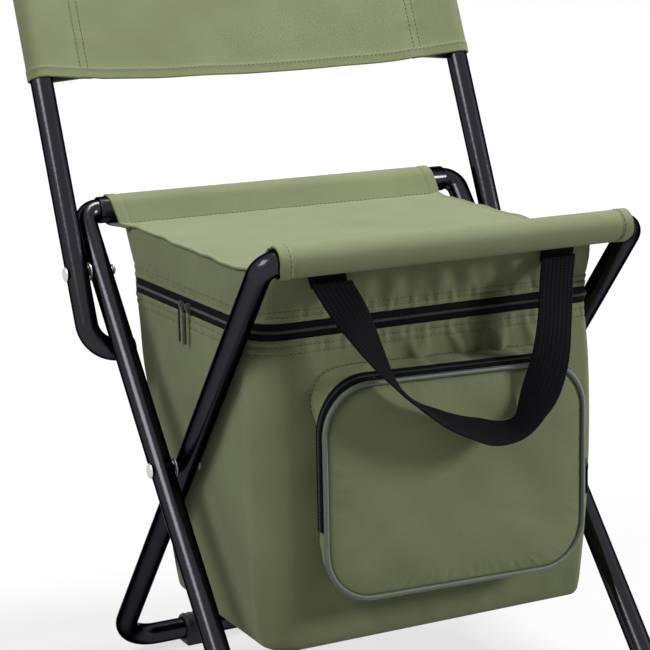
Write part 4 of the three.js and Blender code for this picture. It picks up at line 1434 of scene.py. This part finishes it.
class STOOL_OT_pocket(bpy.types.Operator):
    """Front pocket: gusset, zip round its top, corded edge and a crowned panel"""

    bl_idname = "stool.pocket"
    bl_label = "Pocket"

    def execute(self, context):
        s = sizes()
        gusset, seam = self.gusset(s)
        finish(gusset, "cooler_tub", oxford(), "olive_cloth", "pocket_gusset")
        # The seam at the gusset's root is drawn in dark thread as a painted shadow line along that edge
        finish(seam, "cooler_tub", thread(), "olive_cloth")
        panel = finish(self.panel(s), "cooler_tub", oxford(), "olive_cloth", "pocket_panel")
        cord = finish(self.cord(), "cooler_tub", piping(), "grey_piping", "pocket_piping")
        tape, teeth = self.zip()
        finish(tape, "cooler_tub", zip_tape(), "black_tape", "pocket_zip_tape")
        finish(teeth, "cooler_tub", zip_teeth(), "black_tape")
        fold_with_legs(gusset, seam, panel, cord, tape, teeth)
        return {"FINISHED"}

    def gusset(self, s):
        """Side wall: loops from the bag's face, wider at the top, out to the corded edge, with puckers, and
        a seam near its root whose dark stitches paint the shadow line along that edge.
        """
        root, depth = -135.2, 21.2
        share = np.concatenate([np.linspace(0, 0.12, 5), np.linspace(0.2, 1, 22)])[:, None]
        x, z = pocket_loop(0.0)
        nx, nz = outwards(x[None], z[None])
        run = around(x[None], z[None])
        rise = np.clip(nz, 0, 1) ** 2
        splay = 7.0 * rise - 7.0 * nx ** 2 - 3.0 * np.clip(-nz, 0, 1)
        bulge = 40 * rise * np.clip(-nx, 0, 1) ** 2
        back = 1 - share
        lean = splay * back ** (1.3 - 0.7 * rise) + bulge * back ** 3
        lip = 1.3 * hump(share, 0.06, 0.06)
        waves = 0.9 * ripple(run, 21, 2) * hump(share, 0.35, 0.3)
        puckers = 0.35 * ripple(run, 9, 4) * hump(share, 0.9, 0.12)
        grow = lean + lip + waves + puckers
        y = root - depth * share - 2.2 * hump(z[None], 180, 60) * back
        points = placed(x[None] + nx * grow, y, z[None] + nz * grow)
        steps = np.linalg.norm(np.diff(points, axis=0), axis=2)
        deep = np.cumsum(np.concatenate([0 * steps[:1], steps]), 0)
        uv = beside(MM * run, deep)
        face = beside(nx, -0.8, nz)[0]
        # Seam stitches near the gusset's root: a real seam, in dark thread that paints the shadow line there
        seam_shade_row = 3
        seam = stitches("pocket_seam_shade_line", [(points[seam_shade_row] + 0.9 * MM * face, face)])
        return sheet_of("pocket_wall", points, uv, s.cloth, close_columns=True), seam

    def cord(self):
        """Piping: a circle carried round the pocket's edge, a little uneven along it."""
        size, sides, depth = 1.85, 14, -158.4
        x, z = pocket_loop(-0.4)
        nx, nz = outwards(x[None], z[None])
        run = around(x[None], z[None])[0]
        angle = np.linspace(0, 2 * math.pi, sides, endpoint=False)[:, None]
        radius = size * (1 + 0.03 * ripple(run, 13, 2))
        out = radius * np.cos(angle)
        points = placed(x + nx * out, depth - radius * np.sin(angle), z + nz * out)
        u = np.append(run, 2 * run[-1] - run[-2])
        v = np.linspace(0, 2 * math.pi * size, sides + 1)[:, None]
        uv = MM * beside(u[None], v)
        return surface("pocket_cord", points, close_rows=True, close_columns=True, uv=uv, flip=True)

    def panel(self, s):
        """Crowned face: loops from the cord in to the middle, edge - y = crown (1 - r^3.4)^0.9, with slow
        waves, two creases and puckers at the cord."""
        edge = -157.6
        cx, cz = POCKET_MIDDLE, 180.0
        share = np.concatenate([[1, 0.985, 0.97, 0.95, 0.93, 0.9], np.linspace(0.86, 0, 34)])[:, None]
        x, z = pocket_loop(-2.2)
        run = around(x[None], z[None])
        px, pz = cx + (x - cx) * share, cz + (z - cz) * share
        dome = 5.6 * (1 - share ** 3.4) ** 0.9
        soft = 1 - share ** 8
        falling_waves = 0.9 * soft * ripple(px + 0.8 * pz, 74, 1)
        rising_waves = 0.6 * soft * ripple(px - 0.5 * pz, 105, 3)
        left_crease = 1.1 * hump(0.62 * (px + 86) - 0.78 * (pz - 118) + 6, 0, 5) * hump(px, -50, 34) * soft
        right_crease = 0.9 * hump(0.30 * (px - 60) + 0.95 * (pz - 150), 0, 6) * hump(px, 60, 30) * soft
        puckers = 0.35 * ripple(run, 11, 2) * hump(share, 0.93, 0.05)
        crown = dome + falling_waves + rising_waves - left_crease - right_crease + puckers
        points = placed(px, edge - crown, pz)
        uv = MM * np.stack([px, pz], -1)
        return sheet_of("pocket_face", points, uv, s.cloth, close_columns=True, pole=True)

    def zip(self):
        """Tape on the gusset behind the cord, over the top and part way down both sides, with teeth."""
        x, z = pocket_loop(1.0)
        nx, nz = outwards(x[None], z[None])
        x, z, nx, nz = (np.roll(v, -(LOOP // 2)) for v in (x, z, nx[0], nz[0]))
        lowest = 160.3
        keep = z > lowest
        x, z, nx, nz = (v[keep] for v in (x, z, nx, nz))
        depth = np.array([-156.2, -155, -153.3, -151.6, -150.4])
        splay = np.array([0, 0.2, 0.5, 0.9, 1.2])
        grow = splay[None] * (0.4 + 3.0 * np.clip(nz, 0, 1)[:, None] ** 2)
        grid = placed(x[:, None] + nx[:, None] * grow, depth[None], z[:, None] + nz[:, None] * grow)
        run = MM * run_lengths(np.stack([x, z], 1))[:, None]
        uv = beside(run, MM * depth[None])
        tape = sheet_of("pocket_zip", grid, uv, TAPE)
        middle = grid[:, 2]
        out = np.stack([nx, 0 * nx, nz], 1)
        line = even_line(middle + 0.6 * MM * out, int(run_lengths(middle)[-1] / TOOTH_PITCH))
        share = np.linspace(0, 1, len(middle))
        up = read_at(np.linspace(0, 1, len(line)), share, out)
        teeth = beads("pocket_teeth", line, along_path(line), up, (0.5 * MM, 1.3 * MM, 0.7 * MM))
        return tape, teeth


class STOOL_OT_sliders(bpy.types.Operator):
    """Zip sliders: a domed wedge with a bridge, and a waisted pull that hangs from it"""

    bl_idname = "stool.sliders"
    bl_label = "Sliders"

    def execute(self, context):
        left, right = np.array([-1.0, 0, 0]), np.array([1.0, 0, 0])
        back, up = np.array([0, 1.0, 0]), np.array([0, 0, 1.0])
        reach = 3.8
        for slider_node, pull_node, slider_body, pull_body, place, along, out in (
                ("slider_front", "pull_front", "front_slider", "front_pull",
                 (-123.2, -28.3, 287), -back, left),
                ("slider_rear", "pull_rear", "rear_slider", "rear_pull",
                 (-123.2, -18.3, 287), back, left),
                ("pocket_slider", "pocket_pull", "pocket_slider_body", "pocket_pull_tab",
                 (106.9, -152.4, 178.3), -up, right)):
            slider = self.wedge(slider_node + "_wedge", np.array(place), along, out)
            finish(slider, slider_body, zip_enamel(), "black_metal", slider_node)
            pull = self.bar(pull_node + "_bar", np.array(place) + reach * out, out)
            finish(pull, pull_body, zip_enamel(), "black_metal", pull_node)
            fold_with_legs(slider, pull)
        return {"FINISHED"}

    def wedge(self, name, place, along, out):
        """A rounded outline, wider at its nose, raised in loops to a dome with a low ridge along it."""
        side = np.cross(out, along)
        t = np.linspace(0, 2 * math.pi, 40, endpoint=False)[None]
        cos, sin = (np.sign(v) * np.abs(v) ** 0.65 for v in (np.cos(t), np.sin(t)))
        long = 4.4 * cos
        wide = (3.7 + 0.8 * np.cos(t)) * sin
        rise = np.array([-0.6, 0.2, 1.0, 1.5, 1.8, 1.9, 1.9])[:, None]
        scale = np.array([1, 1, 1, 0.95, 0.82, 0.4, 0])[:, None]
        height = rise + 0.9 * hump(wide * scale, 0, 1.2) * (rise > 1.2) * (1 - 0.5 * scale)
        grid = place + (
            (scale * long)[..., None] * along + (scale * wide)[..., None] * side + height[..., None] * out)
        return surface(name, MM * grid, close_columns=True, flip=np.dot(np.cross(along, side), out) > 0)

    def bar(self, name, place, out):
        """A flat bar that hangs down: its half width swells at the eye and the tip, with round ends."""
        top, bottom, rounding, thin = -2.4, -24.4, 1.6, 0.7
        upper = top - np.array([0, 0.1, 0.5])
        lower = bottom + np.array([1.0, 0.3, 0])
        drop = np.concatenate([upper, np.linspace(-3.8, -22.3, 30), lower])
        tip = np.clip(np.minimum(top - drop, drop - bottom) / rounding, 0, 1)
        swell = 1.25 + 0.55 * hump(drop, -4.5, 1.8) + 0.45 * hump(drop, -20.8, 4)
        half = swell * np.sqrt(tip * (2 - tip))
        side = np.cross(out, (0, 0, 1.0))
        t = np.linspace(0, 2 * math.pi, 16, endpoint=False)
        grid = place + (
            drop[:, None, None] * np.array([0, 0, 1.0])
            + (half[:, None] * np.cos(t))[..., None] * side
            + (np.minimum(half, thin)[:, None] * np.sin(t))[..., None] * out)
        return surface(name, MM * grid, close_columns=True)


class STOOL_OT_handle(bpy.types.Operator):
    """Handle: one length of webbing in a loop that twists, on two sewn tabs"""

    bl_idname = "stool.handle"
    bl_label = "Handle"

    def execute(self, context):
        strap = self.ribbon("handle_webbing", self.route(), self.twist, 0.05)
        finish(strap, "handle", webbing(), "black_webbing", "handle_strap")
        foot, head = (-151.9, 317.4), (-155.6, 334.6)
        tabs = []
        for word, low, high in (("left", -80.8, -87.6), ("right", 85.8, 86.2)):
            line = np.linspace((low, *foot), (high, *head), 12)
            tab = self.ribbon(f"handle_{word}_tab", line, np.zeros_like, 1.0)
            tabs.append(finish(tab, "outer_frame", webbing(), "black_webbing", f"handle_tab_{word}"))
        fold_with_legs(strap, *tabs)
        return {"FINISHED"}

    def route(self):
        """Middle of the webbing in mm: a smooth line through places along the loop in front of the bag."""
        stops = np.array([
            (-82.6, -157.3, 321), (-77.3, -158.2, 311.5), (-69.5, -161, 297.3), (-62.2, -168.5, 280.3),
            (-55.0, -174, 265.9), (-45.6, -178, 251.7), (-34.5, -179, 240.9), (-19.7, -179.5, 231.3),
            (-0.8, -179.5, 222.4), (15.1, -179, 216.9), (30, -178, 214.8), (40.5, -177, 215.9),
            (48, -176, 219.4), (53.8, -174.8, 226.6), (60.6, -173, 237.2), (69.2, -170.5, 255.6),
            (76.5, -164.8, 280), (82.0, -158.4, 305.8), (84.4, -157.3, 321)])
        run = run_lengths(stops)
        slope = np.gradient(stops, run, axis=0)
        at = np.linspace(0, run[-1], 260)
        k = np.clip(np.searchsorted(run, at, side="right") - 1, 0, len(run) - 2)
        wide = (run[k + 1] - run[k])[:, None]
        t = ((at - run[k])[:, None]) / wide
        ahead, behind = slope[k] * wide, slope[k + 1] * wide
        return (
            stops[k] * (2 * t ** 3 - 3 * t ** 2 + 1) + ahead * (t ** 3 - 2 * t ** 2 + t)
            + stops[k + 1] * (3 * t ** 2 - 2 * t ** 3) + behind * (t ** 3 - t ** 2))

    def twist(self, share):
        """Turn of the webbing about its own line in radians, by the share of its length: flat at the tabs,
        nearly edge on at both bends, and smoothed by a bell."""
        at, turn = np.array([
            (0, -2), (0.08, -7), (0.14, -28), (0.2, -49), (0.25, -68), (0.3, -80), (0.345, -80), (0.4, -70),
            (0.46, -66), (0.514, -57), (0.565, -69), (0.6, -81), (0.63, -88), (0.66, -70), (0.7, -44),
            (0.77, -20), (0.85, -6), (1, 0)]).T
        reach = 15
        even = np.linspace(0, 1, 241)
        near = hump(np.arange(-reach, reach + 1), 0, 4)
        padded = np.pad(np.interp(even, at, turn), reach, mode="edge")
        soft = np.convolve(padded, near / near.sum(), mode="valid")
        return np.radians(np.interp(share, even, soft))

    def ribbon(self, name, line, twist, level):
        """Webbing: a rounded oblong carried along a line, line + a wide + b face, turned by twist.

        Its ends are cut level: wholly within half of level, a share of the line, and not beyond 1.5 of it.
        """
        share = np.linspace(0, 1, len(line))
        tangent = along_path(line)
        across = np.cross((0.0, -1.0, 0.0), tangent)
        across /= np.linalg.norm(across, axis=1, keepdims=True)
        front = np.cross(tangent, across)
        turn = twist(share)[:, None]
        wide = np.cos(turn) * across + np.sin(turn) * front
        face = np.cos(turn) * front - np.sin(turn) * across
        cut = np.clip(1.5 - np.minimum(share, 1 - share)[:, None] / level, 0, 1)
        wide = wide - cut * tangent * np.where(cut > 0, wide[:, 2:] / tangent[:, 2:], 0)
        half, thin = in_mm(sizes().strap_width) / 2, 0.85
        flat = half - 0.7
        body = np.stack([np.linspace(-flat, flat, 22), np.full(22, thin)], 1)
        edge = arc((flat, 0), 1, 70, -70, 5) * (1, thin)
        loop = np.concatenate([body, edge, body[::-1] * (1, -1), -edge])
        grid = line[:, None] + loop[None, :, :1] * wide[:, None] + loop[None, :, 1:] * face[:, None]
        girth = np.append(run_lengths(loop), 4 * half + 4)
        uv = MM * beside(run_lengths(line)[:, None], girth[None])
        first, last = (0 * row + row.mean(1, keepdims=True) for row in (grid[:1], grid[-1:]))
        grid = np.concatenate([first, grid, last])
        uv = np.concatenate([uv[:1], uv, uv[-1:]])
        return surface(name, MM * grid, close_columns=True, uv=uv)


class STOOL_OT_stage(bpy.types.Operator):
    """Floor, lamps, world and the camera of the photograph"""

    bl_idname = "stool.stage"
    bl_label = "Stage"

    def execute(self, context):
        self.floor()
        self.world(context)
        self.lamps()
        self.camera(context)
        context.scene.view_settings.view_transform = "Standard"
        return {"FINISHED"}

    def floor(self):
        """Square floor: away from the stool its own glow rises, to make up for the lamps' light that falls
        off there, and near the stool it leaves the shadow to be seen."""
        reach = 6.0
        near, far = 0.4, 2.2
        glow_near, glow_far = 2.3, 3.34
        glow_share = 0.3
        edge = np.linspace(-reach, reach, 3)
        x, y = np.meshgrid(edge, edge, indexing="ij")
        floor = surface("floor", np.stack([x, y, np.zeros_like(x)], -1), flip=True)
        n = Nodes("studio_floor")
        n.set(Base_Color=(*colours().floor, 1), Roughness=0.9, Specular_IOR_Level=0.0)
        away = n.add("ShaderNodeVectorMath", operation="LENGTH")
        n.link(n.place("Object"), away.inputs[0])
        rise = n.add("ShaderNodeMapRange", From_Min=near, From_Max=far, To_Min=glow_near, To_Max=glow_far)
        n.link(away.outputs["Value"], rise.inputs["Value"])
        glow = n.add("ShaderNodeEmission")
        n.link(rise.outputs["Result"], glow.inputs["Strength"])
        mix = n.add("ShaderNodeMixShader")
        n.link(n.math("MULTIPLY", n.seen(), glow_share), mix.inputs[0])
        n.link(n.shader.outputs[0], mix.inputs[1])
        n.link(glow.outputs[0], mix.inputs[2])
        n.link(mix.outputs[0], n.tree.nodes["Material Output"].inputs[0])
        floor.data.materials.append(n.owner)

    def world(self, context):
        """White to the camera and to reflections, a faint even light to everything else."""
        even_light = 0.03
        n = Nodes("studio", "worlds")
        context.scene.world = n.owner
        back = n.tree.nodes["Background"]
        back.inputs["Color"].default_value = (1, 1, 1, 1)
        strength = n.add("ShaderNodeMapRange", To_Min=even_light, To_Max=1.0)
        n.link(n.seen(), strength.inputs["Value"])
        n.link(strength.outputs["Result"], back.inputs["Strength"])

    def lamps(self):
        """A broad key from the upper left, one lamp above the seat and one from the right."""
        target = np.array([0, 0, 0.3])
        for name, place, size, power in (
                ("key", (-1.5, -0.5, 1.6), 0.9, 28),
                ("top", (0.4, 0.1, 2.3), 0.6, 43),
                ("right", (1.9, -1.35, 1.0), 0.5, 40)):
            data = bpy.data.lights.new(name, "AREA")
            data.energy = power
            data.size = size
            lamp = bpy.data.objects.new(name, data)
            lamp.matrix_world = facing(place, np.asarray(place) - target)
            bpy.context.collection.objects.link(lamp)

    def camera(self, context):
        """The photograph's camera: place, direction, roll and lens fitted to the stool's tubes."""
        data = bpy.data.cameras.new("camera")
        data.lens = 111.63
        data.sensor_width = 36
        data.clip_start = 0.05
        camera = bpy.data.objects.new("camera", data)
        place = (-0.6361, -1.2444, 0.5537)
        azimuth, height, roll = (math.radians(angle) for angle in (-26.78, 12.01, -1.25))
        level = math.cos(height)
        back = (math.sin(azimuth) * level, -math.cos(azimuth) * level, math.sin(height))
        camera.matrix_world = facing(place, back, roll)
        context.collection.objects.link(camera)
        context.scene.camera = camera


def facing(place, back, roll=0.0):
    """Matrix of a camera or lamp at a place that looks away from the vector back, turned by roll."""
    back = np.asarray(back, float) / np.linalg.norm(back)
    right = np.cross((0, 0, 1), back)
    right /= np.linalg.norm(right)
    up = np.cross(back, right)
    c, s = math.cos(roll), math.sin(roll)
    axes = np.stack([c * right + s * up, c * up - s * right, back], 1)
    matrix = np.eye(4)
    matrix[:3, :3] = axes
    matrix[:3, 3] = place
    return Matrix(matrix.tolist())


PIECES = (
    STOOL_OT_leg_frames,
    STOOL_OT_backrest_frame,
    STOOL_OT_rails,
    STOOL_OT_rivets,
    STOOL_OT_feet,
    STOOL_OT_backrest_cloth,
    STOOL_OT_seat,
    STOOL_OT_tub,
    STOOL_OT_band,
    STOOL_OT_zip,
    STOOL_OT_pocket,
    STOOL_OT_sliders,
    STOOL_OT_handle,
    STOOL_OT_stage,
)


class STOOL_PT_pieces(bpy.types.Panel):
    """Lists the pieces in the order they are made"""

    bl_idname = "STOOL_PT_pieces"
    bl_label = "Folding Cooler Stool"
    bl_space_type = "VIEW_3D"
    bl_region_type = "UI"
    bl_category = "Stool"

    def draw(self, context):
        for piece in PIECES:
            self.layout.operator(piece.bl_idname)


CLASSES = (StoolSizes, StoolColours, *PIECES, STOOL_PT_pieces)


def register():
    """Registers the classes and hangs the property groups on the scene."""
    for cls in CLASSES:
        bpy.utils.register_class(cls)
    bpy.types.Scene.stool_sizes = bpy.props.PointerProperty(type=StoolSizes)
    bpy.types.Scene.stool_colours = bpy.props.PointerProperty(type=StoolColours)


def unregister():
    """Takes back what register did."""
    del bpy.types.Scene.stool_colours
    del bpy.types.Scene.stool_sizes
    for cls in reversed(CLASSES):
        bpy.utils.unregister_class(cls)


def main():
    """Builds everything in order."""
    register()
    bpy.ops.stool.leg_frames()
    bpy.ops.stool.backrest_frame()
    bpy.ops.stool.rails()
    bpy.ops.stool.rivets()
    bpy.ops.stool.feet()
    bpy.ops.stool.backrest_cloth()
    bpy.ops.stool.seat()
    bpy.ops.stool.tub()
    bpy.ops.stool.band()
    bpy.ops.stool.zip()
    bpy.ops.stool.pocket()
    bpy.ops.stool.sliders()
    bpy.ops.stool.handle()
    bpy.ops.stool.stage()


if __name__ == "__main__":
    main()
